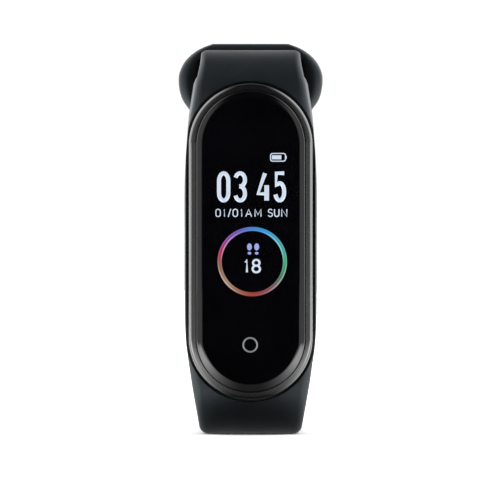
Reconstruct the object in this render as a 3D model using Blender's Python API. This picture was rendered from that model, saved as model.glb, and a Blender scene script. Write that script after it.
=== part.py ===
"""Fitness tracker band: an oval sensor capsule in a soft strap that closes into a loop.

Metres, +Z up. The display faces -Y and +X is to the viewer's right. The band stands on its
lower run, and the origin is at the middle of its base. "Depth" is measured back from the
cradle's front face, and "height" up from the capsule's centre. Each moving body hangs from
an empty on its joint's axis.
"""

import math

import bmesh
import bpy
from mathutils import Vector

MM = 0.001

# Fits
GAP = 0.3 * MM  # between pieces that rest on, in or beside each other
OVERCUT = 1.0 * MM  # how far a cutter runs past the piece it cuts
SKIM = 0.1 * MM  # the same where the cutter follows the piece's own outline

# Closed loop of strap
LOOP_HEIGHT = 57.2 * MM  # lower run's underside to upper run's top
LOOP_DEPTH = 47.0 * MM  # cradle's face to the tail's outer face
STRAP_WIDTH = 14.8 * MM
STRAP_THICKNESS = 2.2 * MM
TAIL_BEND = 7.0 * MM  # centre-line radius where the upper run turns down
HEEL_BEND = 9.5 * MM  # centre-line radius where the lower run turns up
HEEL_RUN = 6.5 * MM  # flat part of the ring arm in front of its bend
STUB_RUN = 0.5 * MM  # flat part of the cradle's lower stub past its fillet

# Cradle
CRADLE_SHOW = 0.63 * MM  # strap seen on each side of the capsule
CRADLE_DEPTH = 9.0 * MM
CRADLE_BEND = 7.65 * MM  # outer radius of its upper and lower bends
CRADLE_FILLET = 2.5 * MM
CRADLE_LEDGE = 1.0 * MM  # lip behind the capsule
WAIST_START = 8.0 * MM  # height where the cradle begins to narrow
WAIST_POWER = 1.65

# Ring end of the strap
RING_RISE = 2.4 * MM  # ring's top above the upper run
RING_THICKNESS = 2.6 * MM
RING_WALL = 3.2 * MM  # beside the slot
RING_EDGE = 1.2 * MM  # rounding of its top edge
RING_SHOULDER = 5.75 * MM  # top down to the widest level
RING_UPPER_AXIS = 7.0 * MM  # half-axes of the outline above and below the widest level
RING_LOWER_AXIS = 8.3 * MM
RING_TAPER_START = 4.65 * MM  # widest level down to where the taper leaves the ellipse
RING_TAPER = 5.1 * MM
SLOT_SIDE_ROOM = 0.7 * MM

# Row of closing holes and the snap button
HOLE_WIDTH = 2.8 * MM
HOLE_LENGTH = 3.2 * MM
HOLE_PITCH = 5.0 * MM
HOLE_START = 11.0 * MM  # slot's lower edge to the first hole
HOLE_END_WALL = 2.0 * MM  # strap left past the last hole
TAIL_TIP = 5.8 * MM  # button's centre to the tail's tip
TAIL_ROUND = 6.0 * MM  # length of the tail's rounded end
BUTTON_RADIUS = 3.5 * MM
BUTTON_PROUD = 0.6 * MM
BUTTON_RECESS = 0.6 * MM
BUTTON_EDGE = 0.3 * MM
RIVET_RADIUS = 1.6 * MM
RIVET_BORE = 0.9 * MM
RIVET_RECESS = 0.1 * MM  # tube's end below the tail's inner face
PIN_NECK_RADIUS = 1.0 * MM
PIN_BULB_RADIUS = 1.2 * MM
PIN_BULB_LENGTH = 0.9 * MM

# Capsule
CAPSULE_LENGTH = 46.6 * MM
CAPSULE_WIDTH = 18.2 * MM
CAPSULE_PROUD = 2.8 * MM  # glass in front of the cradle's face
SHELL_NECK_STEP = 0.8 * MM  # flange's edge to the body that sits in the cradle
SHELL_WALL = 1.0 * MM
SHELL_FLOOR = 0.8 * MM  # wall between the battery and the cradle
SHELL_CHAMFER = 0.5 * MM
PLATFORM_STEP = 1.6 * MM  # body's side to the raised back
PLATFORM_PROUD = 0.2 * MM  # raised back behind the cradle
RIM_WIDTH = 1.05 * MM  # flange seen around the glass
RIM_FALL = 0.75 * MM  # glass front to the rim's inner edge
RIM_SLOPE = 0.45 * MM
RIM_ROUND = 0.25 * MM  # rounding of the rim's outer edge
FLANGE_THICKNESS = 1.3 * MM
GLASS_THICKNESS = 1.1 * MM
GLASS_SIDE_GAP = 0.1 * MM
GLASS_CURVE = 0.75 * MM  # width and height of the glass's curved edge
GLASS_CURVE_DROP = 0.6 * MM
GASKET_THICKNESS = 0.3 * MM
GASKET_WIDTH = 0.6 * MM

# Display stack
TOUCH_THICKNESS = 0.25 * MM
PANEL_THICKNESS = 0.9 * MM
PANEL_SIDE_ROOM = 1.5 * MM
PANEL_LENGTH = 24.6 * MM
PANEL_TOP_ROOM = 7.2 * MM
BRACKET_THICKNESS = 0.4 * MM
BRACKET_WINDOW = (7.0 * MM, 14.0 * MM)
FLEX_THICKNESS = 0.2 * MM
FLEX_SPACING = 1.2 * MM
DISPLAY_FLEX_WIDTH = 5.0 * MM
TOUCH_FLEX_WIDTH = 3.0 * MM
SENSOR_FLEX_WIDTH = 4.0 * MM

# Main board and what is on it
CHIP_ROOM = 1.3 * MM  # bracket to board
BOARD_THICKNESS = 0.6 * MM
CHIP_THICKNESS = 0.4 * MM
CONNECTOR_HEIGHT = 0.6 * MM
SHIELD_WALL = 0.15 * MM
SHIELD_SIDE = 0.7 * MM
PROCESSOR = (6.0 * MM, 6.0 * MM)
MEMORY = (5.0 * MM, 4.4 * MM)
POWER_CHIP = (3.0 * MM, 3.0 * MM)
MOTION_SENSOR = (2.5 * MM, 2.5 * MM)
CLOCK_CRYSTAL = (2.0 * MM, 1.2 * MM)
PROCESSOR_HEIGHT = 3.5 * MM
MEMORY_HEIGHT = -2.9 * MM
UPPER_CHIP_HEIGHT = 10.6 * MM
UPPER_CHIP_SIDE = 2.6 * MM
CRYSTAL_HEIGHT = 13.6 * MM
DISPLAY_CONNECTOR = (5.6 * MM, 1.6 * MM)
SENSOR_CONNECTOR = (4.0 * MM, 1.2 * MM)

# Battery, aerial and motor
BATTERY_THICKNESS = 2.8 * MM
BATTERY_SIDE_ROOM = 1.5 * MM
BATTERY_CORNER_ROOM = 0.36 * MM  # battery's upper corners to the aerial
BATTERY_EDGE = 0.4 * MM
BATTERY_BOARD = (7.0 * MM, 1.5 * MM)
LEAD_RADIUS = 0.25 * MM
LEAD_SIDE = 1.3 * MM
AERIAL_THICKNESS = 0.2 * MM
AERIAL_WIDTH = 2.4 * MM
AERIAL_SPAN = 70.0  # degrees each side of straight up
MOTOR_RADIUS = 3.8 * MM
MOTOR_HEIGHT = 2.65 * MM
MOTOR_BASE_THICKNESS = 0.3 * MM
MOTOR_WALL = 0.25 * MM
MOTOR_END_ROOM = 6.7 * MM  # cavity's lower end to the motor
MOTOR_SHAFT_RADIUS = 0.4 * MM
ROTOR_RADIUS = 3.1 * MM
SENSOR_LINK_ROOM = 2.7 * MM  # motor to battery

# Heart-rate sensor and charging contacts
SENSOR_BOARD_THICKNESS = 0.45 * MM
SENSOR_BOARD = (10.6 * MM, 15.0 * MM)
SENSOR_HEIGHT = 1.4 * MM
LENS = (7.4 * MM, 10.4 * MM)
LENS_CORNER = 2.2 * MM
LENS_THICKNESS = 1.05 * MM
LENS_PROUD = 0.15 * MM
BAFFLE = (6.6 * MM, 9.6 * MM)
BAFFLE_DEPTH = 1.2 * MM
LED_SIZE = 1.6 * MM
LED_THICKNESS = 0.6 * MM
LED_OFFSET = 3.0 * MM
PHOTODIODE = (2.6 * MM, 2.2 * MM)
CONTACT_RADIUS = 1.1 * MM
CONTACT_FLANGE = 1.5 * MM
CONTACT_FLANGE_THICKNESS = 0.5 * MM
CONTACT_SIDE = 2.6 * MM
CONTACT_END_ROOM = 5.5 * MM
CONTACT_PROUD = 0.05 * MM
SPRING_RADIUS = 0.8 * MM
SPRING_WIRE = 0.15 * MM
SPRING_TURNS = 4.5

# Smoothness
BEND_STEPS = 8
CAP_STEPS = 12
ROUND_STEPS = 24
SHARP_ANGLE = math.radians(35)

# Places that follow from the sizes above
FACE_Y = -(LOOP_DEPTH + BUTTON_PROUD - CAPSULE_PROUD) / 2
CENTRE_Z = LOOP_HEIGHT / 2
STRAP_HALF = STRAP_WIDTH / 2
RUN_MIDDLE = LOOP_HEIGHT / 2 - STRAP_THICKNESS / 2  # height of a run's centre line
TAIL_DEPTH = LOOP_DEPTH - STRAP_THICKNESS / 2
RING_DEPTH = TAIL_DEPTH - STRAP_THICKNESS - GAP
RING_BACK_DEPTH = RING_DEPTH + STRAP_THICKNESS / 2
TAIL_TURN_DEPTH = TAIL_DEPTH - TAIL_BEND
TAIL_TURN_HEIGHT = RUN_MIDDLE - TAIL_BEND
HEEL_TURN_DEPTH = RING_DEPTH - HEEL_BEND
HEEL_TURN_HEIGHT = HEEL_BEND - RUN_MIDDLE
NOSE = STRAP_THICKNESS / 2
END_ROOM = NOSE + GAP  # flex line to the flat end that faces its nose
LOWER_FRONT_FLEX = CRADLE_DEPTH + CRADLE_FILLET + STUB_RUN + END_ROOM
LOWER_BACK_FLEX = HEEL_TURN_DEPTH - HEEL_RUN
FLEX_LENGTH = LOWER_BACK_FLEX - LOWER_FRONT_FLEX
UPPER_BACK_FLEX = TAIL_TURN_DEPTH
UPPER_FRONT_FLEX = UPPER_BACK_FLEX - FLEX_LENGTH
TAIL_FLEX_HEIGHT = TAIL_TURN_HEIGHT - END_ROOM

RING_TOP = LOOP_HEIGHT / 2 + RING_RISE
RING_HALF = STRAP_HALF + SLOT_SIDE_ROOM + RING_WALL
SLOT_HALF = STRAP_HALF + SLOT_SIDE_ROOM
SLOT_BOTTOM = TAIL_TURN_HEIGHT
SLOT_TOP = TAIL_TURN_HEIGHT + math.sqrt(
    (TAIL_BEND + END_ROOM) ** 2 - (RING_BACK_DEPTH - RING_THICKNESS - TAIL_TURN_DEPTH) ** 2
)
STRAIGHT_BACK = SLOT_BOTTOM - HEEL_TURN_HEIGHT
HEEL_ARC = HEEL_BEND * math.pi / 2
HOLE_ROW = STRAIGHT_BACK + HEEL_ARC + HEEL_RUN - HOLE_START - HOLE_LENGTH / 2 - HOLE_END_WALL
HOLE_COUNT = int(HOLE_ROW / HOLE_PITCH) + 1
BUTTON_HOLE = int((STRAIGHT_BACK - HOLE_START - HOLE_LENGTH) / HOLE_PITCH)
BUTTON_HEIGHT = SLOT_BOTTOM - HOLE_START - BUTTON_HOLE * HOLE_PITCH

CRADLE_HALF = CAPSULE_WIDTH / 2 + CRADLE_SHOW
FLANGE_R = CAPSULE_WIDTH / 2
STRAIGHT_HALF = CAPSULE_LENGTH / 2 - FLANGE_R  # half of the capsule's straight sides
NECK_R = FLANGE_R - SHELL_NECK_STEP
PLATFORM_R = NECK_R - PLATFORM_STEP
CAVITY_R = NECK_R - SHELL_WALL
PIECE_R = CAVITY_R - GAP  # largest piece that goes in the cavity
CAVITY_HALF = STRAIGHT_HALF + CAVITY_R
GLASS_POCKET_R = FLANGE_R - RIM_WIDTH
GLASS_R = GLASS_POCKET_R - GLASS_SIDE_GAP

GLASS_FRONT = -CAPSULE_PROUD
GLASS_BACK = GLASS_FRONT + GLASS_THICKNESS
LEDGE = GLASS_BACK + GASKET_THICKNESS + 2 * GAP
FLANGE_BACK = -GAP
RIM_INNER = GLASS_FRONT + RIM_FALL
BODY_BACK = CRADLE_DEPTH - CRADLE_LEDGE - GAP
PLATFORM_BACK = CRADLE_DEPTH + PLATFORM_PROUD
TOUCH_FRONT = GLASS_BACK + GAP
PANEL_FRONT = TOUCH_FRONT + TOUCH_THICKNESS + GAP
BRACKET_FRONT = PANEL_FRONT + PANEL_THICKNESS + GAP
BRACKET_BACK = BRACKET_FRONT + BRACKET_THICKNESS
BOARD_FRONT = BRACKET_BACK + CHIP_ROOM
BOARD_BACK = BOARD_FRONT + BOARD_THICKNESS
CHIP_BACK = BOARD_FRONT - GAP
PACK_FRONT = BOARD_BACK + GAP
SENSOR_BOARD_FRONT = PACK_FRONT + BATTERY_THICKNESS + GAP
SENSOR_BOARD_BACK = SENSOR_BOARD_FRONT + SENSOR_BOARD_THICKNESS
CAVITY_FLOOR = BODY_BACK - SHELL_FLOOR
PLATFORM_FLOOR = PLATFORM_BACK - SHELL_WALL

PANEL_TOP = CAVITY_HALF - PANEL_TOP_ROOM
PANEL_BOTTOM = PANEL_TOP - PANEL_LENGTH
DISPLAY_FLEX_HEIGHT = PANEL_BOTTOM - GAP - FLEX_THICKNESS
TOUCH_FLEX_HEIGHT = DISPLAY_FLEX_HEIGHT - FLEX_SPACING
MOTOR_CENTRE = MOTOR_END_ROOM + MOTOR_RADIUS - CAVITY_HALF
BATTERY_BOTTOM = MOTOR_CENTRE + MOTOR_RADIUS + SENSOR_LINK_ROOM
BATTERY_HALF = CAVITY_R - BATTERY_SIDE_ROOM
BATTERY_REACH = PIECE_R - AERIAL_THICKNESS - BATTERY_CORNER_ROOM
BATTERY_TOP = STRAIGHT_HALF + math.sqrt(BATTERY_REACH**2 - BATTERY_HALF**2)
CONTACT_HEIGHT = CONTACT_END_ROOM - CAVITY_HALF
SENSOR_LINK_HEIGHT = BATTERY_BOTTOM - GAP - SENSOR_CONNECTOR[1] / 2


def y_at(depth):
    """World Y of a depth behind the cradle's front face."""
    return FACE_Y + depth


def z_at(height):
    """World Z of a height above the capsule's centre."""
    return CENTRE_Z + height


# Scene, finishes and bodies


def clear_scene():
    for obj in list(bpy.data.objects):
        bpy.data.objects.remove(obj, do_unlink=True)


def linear(value):
    """Linear light of a display value from 0 to 255."""
    value /= 255
    return value / 12.92 if value <= 0.04045 else ((value + 0.055) / 1.055) ** 2.4


def finish(name, colour, roughness, metallic=0.0):
    """A material from its display colour."""
    made = bpy.data.materials.new(name)
    made.use_nodes = True
    shader = made.node_tree.nodes["Principled BSDF"]
    shader.inputs["Base Color"].default_value = [linear(c) for c in colour] + [1.0]
    shader.inputs["Roughness"].default_value = roughness
    shader.inputs["Metallic"].default_value = metallic
    made.diffuse_color = [linear(c) for c in colour] + [1.0]
    return made


def axis_empty(name, depth, height, parent=None):
    """An empty on a joint's axis, which the body's pieces hang from."""
    empty = bpy.data.objects.new(name, None)
    bpy.context.collection.objects.link(empty)
    empty.empty_display_size = 4 * MM
    place = Vector((0.0, y_at(depth), z_at(height)))
    empty.location = place - (parent.matrix_world.translation if parent else Vector())
    empty.parent = parent
    bpy.context.view_layer.update()
    return empty


def add_object(name, bm, material=None, body=None):
    """Makes the object of a bmesh given in world coordinates, hung from its body's empty."""
    bmesh.ops.recalc_face_normals(bm, faces=bm.faces)
    mesh = bpy.data.meshes.new(name)
    bm.to_mesh(mesh)
    bm.free()
    mesh.shade_smooth()
    mesh.set_sharp_from_angle(angle=SHARP_ANGLE)
    obj = bpy.data.objects.new(name, mesh)
    bpy.context.collection.objects.link(obj)
    if material:
        mesh.materials.append(material)
    if body:
        hang(obj, body)
    return obj


def hang(obj, body):
    obj.parent = body
    obj.matrix_parent_inverse = body.matrix_world.inverted()


# Outlines: lists of points in the plane across an axis


def arc(centre, radius, start, end, steps=BEND_STEPS):
    """Points of an arc, with angles in degrees from the first coordinate to the second."""
    turns = [math.radians(start + (end - start) * i / steps) for i in range(steps + 1)]
    return [(centre[0] + radius * math.cos(t), centre[1] + radius * math.sin(t)) for t in turns]


def stadium(radius, straight_half, centre=(0.0, 0.0), steps=CAP_STEPS):
    """A long round outline: half circles above and below straight sides."""
    upper = (centre[0], centre[1] + straight_half)
    lower = (centre[0], centre[1] - straight_half)
    return arc(upper, radius, 0, 180, steps) + arc(lower, radius, 180, 360, steps)


def circle(radius, centre=(0.0, 0.0), steps=ROUND_STEPS):
    return arc(centre, radius, 0, 360, steps)[:-1]


def rounded(size, corner, centre=(0.0, 0.0), steps=4):
    """A rectangle of the given width and height with round corners."""
    a = size[0] / 2 - corner
    b = size[1] / 2 - corner
    points = []
    for sign_a, sign_b, start in ((1, 1, 0), (-1, 1, 90), (-1, -1, 180), (1, -1, 270)):
        middle = (centre[0] + sign_a * a, centre[1] + sign_b * b)
        points += arc(middle, corner, start, start + 90, steps)
    return points


def mirrored(side):
    """A symmetric outline from the points of its right side, listed upwards."""
    return side + [(-x, z) for x, z in reversed(side)]


# Solids


def ring_of(bm, outline, axis, level):
    """Vertices of an outline placed across an axis at a level along it."""
    order = {"X": lambda a, b: (level, a, b), "Y": lambda a, b: (a, level, b)}[axis]
    return [bm.verts.new(order(a, b)) for a, b in outline]


def skin(bm, rings, closed=False):
    """Quads from each ring to the next, with flat caps unless the last joins the first."""
    pairs = list(zip(rings, rings[1:]))
    if closed:
        pairs.append((rings[-1], rings[0]))
    else:
        bm.faces.new(rings[0])
        bm.faces.new(rings[-1])
    for one, two in pairs:
        for i in range(len(one)):
            j = (i + 1) % len(one)
            bm.faces.new((one[i], one[j], two[j], two[i]))


def prism_x(name, outline, half_width, material=None, body=None):
    """An outline of (depth, height) points, carried across the strap's width."""
    bm = bmesh.new()
    points = [(y_at(d), z_at(h)) for d, h in outline]
    skin(bm, [ring_of(bm, points, "X", x) for x in (-half_width, half_width)])
    return add_object(name, bm, material, body)


def prism_y(name, outline, front, back, material=None, body=None):
    """An outline of (x, height) points, carried between two depths."""
    return stack(name, [(outline, front), (outline, back)], material, body)


def stack(name, layers, material=None, body=None, closed=False):
    """A solid through outlines of (x, height) points, each at its own depth."""
    bm = bmesh.new()
    rings = []
    for outline, depth in layers:
        points = [(x, z_at(h)) for x, h in outline]
        rings.append(ring_of(bm, points, "Y", y_at(depth)))
    skin(bm, rings, closed)
    return add_object(name, bm, material, body)


def stadium_stack(name, layers, material=None, body=None, closed=False):
    """A solid with the capsule's round-ended section, through (radius, depth) layers."""
    shapes = [(stadium(radius, STRAIGHT_HALF), depth) for radius, depth in layers]
    return stack(name, shapes, material, body, closed)


def turned(name, layers, centre, material=None, body=None, closed=False):
    """A turned piece on an axis along Y, through (radius, depth) layers."""
    shapes = [(circle(radius, centre), depth) for radius, depth in layers]
    return stack(name, shapes, material, body, closed)


def plate(name, size, centre, front, back, material, body):
    """A rectangular plate or chip that faces the display."""
    a = size[0] / 2
    b = size[1] / 2
    outline = [(centre[0] + x, centre[1] + z) for x, z in ((a, b), (-a, b), (-a, -b), (a, -b))]
    return prism_y(name, outline, front, back, material, body)


def boolean(obj, tool, operation):
    modifier = obj.modifiers.new(tool.name, "BOOLEAN")
    modifier.operation = operation
    modifier.solver = "EXACT"
    modifier.object = tool
    tool.hide_render = True
    tool.display_type = "WIRE"


# Strap


def cradle_half_width(height):
    """The cradle narrows smoothly from the capsule's middle to the strap's width."""
    reach = (abs(height) - WAIST_START) / (LOOP_HEIGHT / 2 - WAIST_START)
    reach = min(max(reach, 0.0), 1.0)
    return CRADLE_HALF - (CRADLE_HALF - STRAP_HALF) * reach**WAIST_POWER


def cradle_side(sign, stub_end):
    """Side view of the cradle above (sign 1) or below (-1) its middle, from face to back."""
    outer = arc((CRADLE_BEND, LOOP_HEIGHT / 2 - CRADLE_BEND), CRADLE_BEND, 180, 90)
    inner_height = LOOP_HEIGHT / 2 - STRAP_THICKNESS
    corner = (CRADLE_DEPTH + CRADLE_FILLET, inner_height - CRADLE_FILLET)
    inner = arc(corner, CRADLE_FILLET, 90, 180, 4)
    ends = [(stub_end, LOOP_HEIGHT / 2), (stub_end, inner_height)]
    return [(d, sign * h) for d, h in outer + ends + inner]


def make_cradle(body, material):
    upper = cradle_side(1, UPPER_FRONT_FLEX - END_ROOM)
    lower = cradle_side(-1, LOWER_FRONT_FLEX - END_ROOM)
    cradle = prism_x(
        "strap_cradle", upper + lower[::-1], CRADLE_HALF + OVERCUT, material, body
    )
    top = LOOP_HEIGHT / 2 + OVERCUT
    heights = [top * i / ROUND_STEPS for i in range(-ROUND_STEPS, ROUND_STEPS + 1)]
    plan = mirrored([(cradle_half_width(h), h) for h in heights])
    reach = max(UPPER_FRONT_FLEX, LOWER_FRONT_FLEX)
    boolean(cradle, prism_y("cradle_plan", plan, -OVERCUT, reach), "INTERSECT")
    pocket = [
        (NECK_R + GAP, -OVERCUT),
        (NECK_R + GAP, BODY_BACK + GAP),
        (PLATFORM_R + GAP, BODY_BACK + GAP),
        (PLATFORM_R + GAP, CRADLE_DEPTH + OVERCUT),
    ]
    boolean(cradle, stadium_stack("cradle_pocket", pocket), "DIFFERENCE")


def flex_run(name, start, end, side, material, body):
    """A straight run of strap above (side 1) or below (-1), with a round nose in front."""
    nose = arc((start, side * RUN_MIDDLE), NOSE, 90, 270)
    flat_end = end - END_ROOM
    tail = [(flat_end, side * RUN_MIDDLE - NOSE), (flat_end, side * RUN_MIDDLE + NOSE)]
    prism_x(name, nose + tail, STRAP_HALF, material, body)


def make_tongue_end(body, material):
    """The upper run's bend, which goes through the ring's slot."""
    turn = (TAIL_TURN_DEPTH, TAIL_TURN_HEIGHT)
    outline = arc((UPPER_BACK_FLEX, RUN_MIDDLE), NOSE, 270, 90)[:-1]
    outline += arc(turn, TAIL_BEND + NOSE, 90, 0)
    outline += arc(turn, TAIL_BEND - NOSE, 0, 90)[:-1]
    prism_x("strap_tongue_end", outline, STRAP_HALF, material, body)


def make_tail(body, material):
    """The loose end that lies down the ring arm's back and carries the button."""
    tip = BUTTON_HEIGHT - TAIL_TIP
    outline = arc((TAIL_DEPTH, TAIL_FLEX_HEIGHT), NOSE, 0, 180)
    outline += [(TAIL_DEPTH - NOSE, tip), (TAIL_DEPTH + NOSE, tip)]
    tail = prism_x("strap_tail", outline, STRAP_HALF, material, body)
    top = TAIL_FLEX_HEIGHT + NOSE + OVERCUT
    turns = [math.radians(-90 + 90 * i / CAP_STEPS) for i in range(1, CAP_STEPS + 1)]
    side = [(0.0, tip - SKIM)]
    side += [
        (STRAP_HALF * math.cos(t) + SKIM, tip + TAIL_ROUND * (1 + math.sin(t))) for t in turns
    ]
    side.append((STRAP_HALF + SKIM, top))
    plan = side + [(-x, z) for x, z in reversed(side[1:])]
    front = TAIL_DEPTH - NOSE - OVERCUT
    back = TAIL_DEPTH + NOSE + OVERCUT
    boolean(tail, prism_y("tail_plan", plan, front, back), "INTERSECT")
    recess_floor = LOOP_DEPTH - BUTTON_RECESS
    bore = [
        (RIVET_RADIUS + GAP, front),
        (RIVET_RADIUS + GAP, recess_floor),
        (BUTTON_RADIUS + GAP, recess_floor),
        (BUTTON_RADIUS + GAP, back),
    ]
    boolean(tail, turned("button_bore", bore, (0.0, BUTTON_HEIGHT)), "DIFFERENCE")


def ring_plan():
    """Back view of the ring arm: a straight strap that swells into a blunt oval ring."""
    widest = RING_TOP - RING_SHOULDER
    taper_top = widest - RING_TAPER_START
    level = math.asin(RING_TAPER_START / RING_LOWER_AXIS)
    taper_x = RING_HALF * math.cos(level)
    slope = RING_HALF * math.tan(level) / RING_LOWER_AXIS
    elbow = taper_top - (taper_x - STRAP_HALF) / slope
    side = [(STRAP_HALF, -LOOP_HEIGHT / 2 - OVERCUT)]
    for i in range(BEND_STEPS + 1):
        t = i / BEND_STEPS
        x = STRAP_HALF * (1 - t) ** 2 + STRAP_HALF * 2 * t * (1 - t) + taper_x * t * t
        low = (taper_top - RING_TAPER) * (1 - t) ** 2
        side.append((x, low + elbow * 2 * t * (1 - t) + taper_top * t * t))
    top_level = math.asin(RING_SHOULDER / RING_UPPER_AXIS)
    for i in range(1, CAP_STEPS + 1):
        t = -level + (level + top_level) * i / CAP_STEPS
        reach = RING_UPPER_AXIS if t > 0 else RING_LOWER_AXIS
        side.append((RING_HALF * math.cos(t), widest + reach * math.sin(t)))
    side.append((side[-1][0], RING_TOP + OVERCUT))
    return mirrored(side)


def ring_arm_side():
    """Side view of the ring arm: a nose, the heel's bend, the back and the thicker ring."""
    turn = (HEEL_TURN_DEPTH, HEEL_TURN_HEIGHT)
    inner = RING_BACK_DEPTH - RING_THICKNESS
    thick_from = SLOT_BOTTOM - RING_WALL
    outline = arc((LOWER_BACK_FLEX, -RUN_MIDDLE), NOSE, 90, 270)
    outline += arc(turn, HEEL_BEND + NOSE, 270, 360)
    outline += arc((RING_BACK_DEPTH - RING_EDGE, RING_TOP - RING_EDGE), RING_EDGE, 0, 90, 4)
    outline += arc((inner + RING_EDGE, RING_TOP - RING_EDGE), RING_EDGE, 90, 180, 4)
    outline += [(inner, thick_from), (RING_DEPTH - NOSE, thick_from - RING_WALL)]
    outline += arc(turn, HEEL_BEND - NOSE, 360, 270)
    return outline


def hole_place(distance):
    """Depth, height and turn in degrees of a point down the ring arm from its slot."""
    if distance <= STRAIGHT_BACK:
        return RING_DEPTH, SLOT_BOTTOM - distance, 0.0
    past = distance - STRAIGHT_BACK
    turn = min(past / HEEL_BEND, math.pi / 2)
    depth = HEEL_TURN_DEPTH + HEEL_BEND * math.cos(turn) - max(past - HEEL_ARC, 0.0)
    return depth, HEEL_TURN_HEIGHT - HEEL_BEND * math.sin(turn), math.degrees(turn)


def make_hole_cutter():
    """All the closing holes as one tool, each square to the strap where it is."""
    bm = bmesh.new()
    outline = stadium(HOLE_WIDTH / 2, (HOLE_LENGTH - HOLE_WIDTH) / 2, steps=6)
    for number in range(HOLE_COUNT):
        depth, height, turn = hole_place(HOLE_START + number * HOLE_PITCH)
        tilt = math.radians(turn)
        rings = []
        for level in (-STRAP_THICKNESS, STRAP_THICKNESS):
            ring = []
            for a, b in outline:
                back = level * math.cos(tilt) + b * math.sin(tilt)
                rise = b * math.cos(tilt) - level * math.sin(tilt)
                ring.append(bm.verts.new((a, y_at(depth + back), z_at(height + rise))))
            rings.append(ring)
        skin(bm, rings)
    return add_object("hole_row", bm)


def make_ring_arm(body, material):
    arm = prism_x("strap_ring_arm", ring_arm_side(), RING_HALF + OVERCUT, material, body)
    front = LOWER_BACK_FLEX - NOSE - OVERCUT
    boolean(arm, prism_y("ring_plan", ring_plan(), front, LOOP_DEPTH), "INTERSECT")
    size = (2 * SLOT_HALF, SLOT_TOP - SLOT_BOTTOM)
    slot = rounded(size, SLOT_SIDE_ROOM, (0.0, (SLOT_TOP + SLOT_BOTTOM) / 2))
    slot_front = RING_BACK_DEPTH - RING_THICKNESS - OVERCUT
    boolean(arm, prism_y("ring_slot", slot, slot_front, LOOP_DEPTH), "DIFFERENCE")
    boolean(arm, make_hole_cutter(), "DIFFERENCE")


def make_button(body, steel):
    """A disc with a rivet tube, and the snap pin that is pressed into the tube."""
    centre = (0.0, BUTTON_HEIGHT)
    disc_front = LOOP_DEPTH - BUTTON_RECESS + GAP
    disc_back = LOOP_DEPTH + BUTTON_PROUD
    tube_end = LOOP_DEPTH - STRAP_THICKNESS + RIVET_RECESS
    bore_end = disc_front + GAP
    disc = [
        (RIVET_BORE, bore_end),
        (RIVET_BORE, tube_end),
        (RIVET_RADIUS, tube_end),
        (RIVET_RADIUS, disc_front),
        (BUTTON_RADIUS, disc_front),
        (BUTTON_RADIUS, disc_back - BUTTON_EDGE),
        (BUTTON_RADIUS - BUTTON_EDGE, disc_back),
    ]
    turned("button_disc", disc, centre, steel, body)
    neck = tube_end - GAP
    bulb = RING_DEPTH - NOSE - RIVET_RECESS
    pin = [
        (RIVET_BORE - GAP, bore_end - GAP),
        (RIVET_BORE - GAP, neck),
        (PIN_NECK_RADIUS, neck),
        (PIN_NECK_RADIUS, bulb),
        (PIN_BULB_RADIUS, bulb - PIN_BULB_LENGTH / 3),
        (PIN_BULB_RADIUS, bulb - PIN_BULB_LENGTH * 2 / 3),
        (PIN_BULB_RADIUS / 2, bulb - PIN_BULB_LENGTH),
    ]
    turned("button_pin", pin, centre, steel, body)


# Capsule's outside


def make_shell(body, material):
    """An open tub: rim around the glass, neck in the cradle, raised back with its windows."""
    layers = [
        (PLATFORM_R - SHELL_WALL, PLATFORM_FLOOR),
        (PLATFORM_R - SHELL_WALL, CAVITY_FLOOR),
        (CAVITY_R, CAVITY_FLOOR),
        (CAVITY_R, LEDGE),
        (GLASS_POCKET_R, LEDGE),
        (GLASS_POCKET_R, RIM_INNER),
        (FLANGE_R - RIM_ROUND, RIM_INNER + RIM_SLOPE / 3),
        (FLANGE_R, RIM_INNER + RIM_SLOPE),
        (FLANGE_R, RIM_INNER + FLANGE_THICKNESS),
        (FLANGE_R - SHELL_CHAMFER / 2, FLANGE_BACK),
        (NECK_R, FLANGE_BACK),
        (NECK_R, BODY_BACK - SHELL_CHAMFER),
        (NECK_R - SHELL_CHAMFER, BODY_BACK),
        (PLATFORM_R, BODY_BACK),
        (PLATFORM_R, PLATFORM_BACK - SHELL_CHAMFER),
        (PLATFORM_R - SHELL_CHAMFER, PLATFORM_BACK),
    ]
    shell = stadium_stack("capsule_shell", layers, material, body)
    size = (LENS[0] + 2 * GAP, LENS[1] + 2 * GAP)
    window = rounded(size, LENS_CORNER + GAP, (0.0, SENSOR_HEIGHT))
    front = PLATFORM_FLOOR - OVERCUT
    back = PLATFORM_BACK + OVERCUT
    boolean(shell, prism_y("lens_window", window, front, back), "DIFFERENCE")
    for side, sign in (("left", -1), ("right", 1)):
        hole = circle(CONTACT_RADIUS + GAP, (sign * CONTACT_SIDE, CONTACT_HEIGHT))
        tool = prism_y("contact_hole_" + side, hole, front, back)
        boolean(shell, tool, "DIFFERENCE")


def make_glass(body, glass, seal):
    edge = []
    for i in range(4):
        turn = math.radians(90 * i / 3)
        radius = GLASS_R - GLASS_CURVE * (1 - math.cos(turn))
        edge.append((radius, GLASS_FRONT + GLASS_CURVE_DROP * (1 - math.sin(turn))))
    stadium_stack("cover_glass", [(GLASS_R, GLASS_BACK)] + edge, glass, body)
    outer = GLASS_POCKET_R - GAP
    front = GLASS_BACK + GAP
    back = front + GASKET_THICKNESS
    inner = outer - GASKET_WIDTH
    loop = [(inner, front), (outer, front), (outer, back), (inner, back)]
    stadium_stack("glass_gasket", loop, seal, body, closed=True)


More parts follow.
